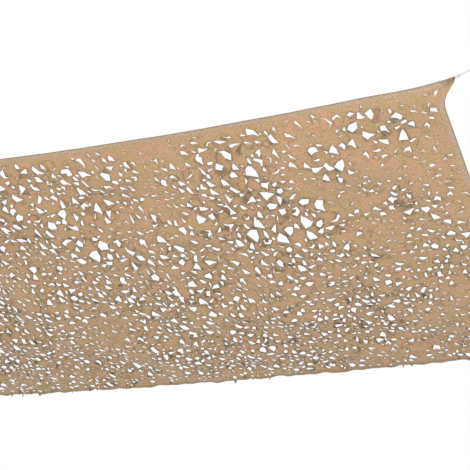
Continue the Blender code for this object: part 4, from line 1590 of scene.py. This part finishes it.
@dataclass
class CornerTie:
    """One corner's tie: the knot on the tip, the taut cord and its stopper knot."""

    form: SailForm
    corner: CornerName
    cord_diameter: float = 0.006
    cord_length: float = 0.100
    cord_steps: int = 60
    knot_length: float = 0.020
    gap: float = 0.0004
    outward: float = 0.30
    upward: float = 0.08
    coil_turns: float = 3.0
    coil_radius: float = 0.0045
    coil_steps: int = 20
    coil_start: float = 0.25
    coil_tuck: float = 6.0
    turn_fit: float = 0.98
    core_fit: float = 0.90
    core_steps: int = 8
    braid_strands: int = 8
    braid_pitch: float = 0.016
    braid_low: float = 0.97
    braid_rise: float = 0.05
    ring_points: int = 24
    fold: float = 60.0

    def heading(self) -> Vector:
        """The way the tie runs from its corner: outwards, a little sideways and up."""
        side, end = self.corner.value
        return Vector((side, end * self.outward, self.upward)).normalized()

    def at(self, distance: float) -> Vector:
        """A place on the tie's line, by its distance from the tip."""
        return Vector(self.form.tip(self.corner)) + self.heading() * distance

    def swell(self, run: float, angle: float) -> float:
        """How far the plaited strands stand out at a point.

        Args:
            run: The distance along the cord.
            angle: The angle round it.

        Returns:
            The share of the cord's radius.
        """
        lay = 2 * math.pi * run / self.braid_pitch
        half = self.braid_strands / 2
        weave = math.cos(half * (angle + lay)) * math.cos(half * (angle - lay))
        return self.braid_low + self.braid_rise * weave

    def sweep(self, line: list[Vector], radius: float, braided: bool) -> tuple[list, list]:
        """Sweeps a round or braided section along a line.

        Args:
            line: The points that the tube follows.
            radius: Its radius.
            braided: Whether the plaited strands are raised on it.

        Returns:
            Its points and its faces.
        """
        count = self.ring_points
        verts = []
        side = self.heading().orthogonal().normalized()
        run = 0.0
        for i, point in enumerate(line):
            before, after = line[max(i - 1, 0)], line[min(i + 1, len(line) - 1)]
            ahead = (after - before).normalized()
            side = (side - ahead * side.dot(ahead)).normalized()
            other = ahead.cross(side)
            if i:
                run += (point - line[i - 1]).length
            for k in range(count):
                angle = 2 * math.pi * k / count
                swell = self.swell(run, angle) if braided else 1.0
                offset = side * math.cos(angle) + other * math.sin(angle)
                verts.append(point + offset * radius * swell)
        faces = tube_faces(len(line), count)
        first, last, tail = len(verts), len(verts) + 1, len(verts) - count
        verts += [line[0], line[-1]]
        for k in range(count):
            faces.append((first, (k + 1) % count, k))
            faces.append((last, tail + k, tail + (k + 1) % count))
        return verts, faces

    def coil_line(self, middle: Vector) -> list[Vector]:
        """The line of a barrel knot: tight turns of the cord round itself.

        Args:
            middle: The knot's middle.

        Returns:
            The line's points.
        """
        steps = round(self.coil_turns * self.coil_steps)
        axis = self.heading()
        side = axis.orthogonal().normalized()
        other = axis.cross(side)
        span = self.knot_length - self.cord_diameter
        points = []
        for i in range(steps + 1):
            share = i / steps
            angle = 2 * math.pi * self.coil_turns * share
            tuck = min(1.0, self.coil_tuck * share, self.coil_tuck * (1 - share))
            rise = (1 - self.coil_start) * math.sin(tuck * math.pi / 2)
            reach = self.coil_radius * (self.coil_start + rise)
            around = side * math.cos(angle) + other * math.sin(angle)
            points.append(middle + axis * ((share - 0.5) * span) + around * reach)
        return points

    def knot(self, name: str, middle: Vector, rope: bpy.types.Material) -> bpy.types.Object:
        """Builds a barrel knot of three tight turns round the cord.

        Args:
            name: The piece's name.
            middle: The knot's middle.
            rope: The cord's material.

        Returns:
            The knot.
        """
        radius = self.cord_diameter / 2
        half = self.knot_length / 2 - self.gap
        steps = self.core_steps
        core_line = [
            middle + self.heading() * (half * (2 * i / steps - 1)) for i in range(steps + 1)
        ]
        turns, turn_faces = self.sweep(self.coil_line(middle), radius * self.turn_fit, False)
        core, core_faces = self.sweep(core_line, radius * self.core_fit, False)
        faces = turn_faces + [tuple(i + len(turns) for i in face) for face in core_faces]
        piece = new_piece(name, turns + core, faces, [rope])
        smooth(piece, self.fold)
        return piece

    def build(self, rope: bpy.types.Material) -> list[bpy.types.Object]:
        """Builds the tie.

        Args:
            rope: The cord's material.

        Returns:
            The knot, the cord and the stopper.
        """
        label = self.corner.label
        knot_middle = self.gap + self.knot_length / 2
        cord_start = knot_middle + self.knot_length / 2 + self.gap
        cord_finish = cord_start + self.cord_length
        stopper_middle = cord_finish + self.gap + self.knot_length / 2
        knot = self.knot(f"corner_knot_{label}", self.at(knot_middle), rope)
        stopper = self.knot(f"end_knot_{label}", self.at(stopper_middle), rope)
        steps = self.cord_steps
        line = [self.at(cord_start + self.cord_length * i / steps) for i in range(steps + 1)]
        verts, faces = self.sweep(line, self.cord_diameter / 2, True)
        cord = new_piece(f"tie_cord_{label}", verts, faces, [rope])
        smooth(cord, self.fold)
        for piece, node in ((knot, "knot"), (cord, "tie"), (stopper, "stopper")):
            ride(piece)
            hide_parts(f"{node}_{label}")
        tuple(self.at(cord_start))
        return [knot, cord, stopper]


@dataclass(frozen=True)
class Lamp:
    """A soft square lamp."""

    name: str
    place: tuple[float, float, float]
    size: float
    power: float
    colour: Colour

    def hang(self, aim: Vector) -> None:
        """Hangs the lamp in its place and turns it to what it lights.

        Args:
            aim: The place that it is turned to.
        """
        light = bpy.data.lights.new(self.name, "AREA")
        light.size = self.size
        light.energy = self.power
        light.color = self.colour
        holder = bpy.data.objects.new(self.name, light)
        holder.location = self.place
        holder.rotation_euler = (aim - holder.location).to_track_quat("-Z", "Y").to_euler()
        bpy.context.scene.collection.objects.link(holder)


@dataclass(frozen=True)
class Studio:
    """The pale floor, the soft light and the camera under the near edge."""

    eye: tuple[float, float, float] = (0.362, -3.035, -2.220)
    heading: float = 22.03
    pitch: float = 28.0
    focal_pixels: float = 1000.0
    image_pixels: float = 470.0
    sensor: float = 36.0
    farthest: float = 500.0
    floor_place: tuple[float, float, float] = (-2.0, 1.0, -14.0)
    floor_size: float = 160.0
    floor_paint: Colour = (0.86, 0.86, 0.85)
    floor_roughness: float = 0.95
    lamps: tuple[Lamp, ...] = (
        Lamp("soft_lamp_front", (0.1, -3.3, -2.7), 2.2, 126.0, (0.97, 0.98, 1.09)),
        Lamp("soft_lamp_above", (-4.0, -1.5, 6.0), 5.0, 500.0, (1.0, 1.0, 1.0)),
    )
    lamp_aim: tuple[float, float, float] = (-1.0, 0.8, -0.1)

    def camera(self) -> None:
        """Sets the camera at the photograph's viewing angle."""
        lens = bpy.data.cameras.new("camera")
        lens.sensor_width = self.sensor
        lens.lens = self.sensor * self.focal_pixels / self.image_pixels
        lens.clip_end = self.farthest
        camera = bpy.data.objects.new("camera", lens)
        camera.location = self.eye
        tilt, turn = math.radians(90.0 + self.pitch), math.radians(self.heading)
        camera.rotation_euler = (tilt, 0.0, turn)
        bpy.context.scene.collection.objects.link(camera)
        bpy.context.scene.camera = camera

    def floor(self) -> None:
        """Lays the plain pale floor far below the sail."""
        bpy.ops.mesh.primitive_plane_add(size=self.floor_size, location=self.floor_place)
        floor = bpy.context.object
        floor.name = "floor"
        paint, shader = start_material("floor_paint", self.floor_roughness)
        shader.inputs["Base Color"].default_value = (*self.floor_paint, 1.0)
        floor.data.materials.append(paint)

    def light(self) -> None:
        """Sets the white surroundings and two soft lamps."""
        scene = bpy.context.scene
        world = bpy.data.worlds.new("white_surroundings")
        world.use_nodes = True
        sky = world.node_tree.nodes["Background"]
        sky.inputs["Color"].default_value = (1.0, 1.0, 1.0, 1.0)
        sky.inputs["Strength"].default_value = 1.0
        scene.world = world
        scene.view_settings.view_transform = "Standard"
        for lamp in self.lamps:
            lamp.hang(Vector(self.lamp_aim))


def main() -> None:
    """Sets the camera, builds the ties, the net and its hem, and lights them."""
    logging.basicConfig(level=logging.INFO, format="%(name)s: %(message)s")
    studio = Studio()
    studio.camera()
    form = SailForm()
    hem_width = 0.025
    rope = CordFinish("cord_braid", (0.60, 0.60, 0.58), (0.40, 0.40, 0.38)).material()
    thread = CordFinish("hem_thread", (0.52, 0.37, 0.24), (0.40, 0.28, 0.17)).material()
    # the upper side: a darker olive reverse face, darkened further as painted shade for the curled
    # leaves that show it
    upper = ClothFinish(
        "cloth_upper", (0.255, 0.205, 0.118), (0.28, 0.195, 0.120), (0.21, 0.19, 0.095)
    ).material()
    lower = ClothFinish(
        "cloth_lower", (0.430, 0.278, 0.149), (0.472, 0.275, 0.165), (0.402, 0.280, 0.133)
    ).material()
    folded = ClothFinish(
        "cloth_folded", (0.417, 0.299, 0.187), (0.456, 0.302, 0.208), (0.387, 0.295, 0.164)
    ).material()
    ties = [CornerTie(form, corner).build(rope) for corner in CornerName]
    panel, leaves = NetPanel(form, LeafLayout(form, hem_width)).build([upper, lower])
    sewn = Hem(form, hem_width).build(folded, thread)
    studio.floor()
    studio.light()


if __name__ == "__main__":
    main()
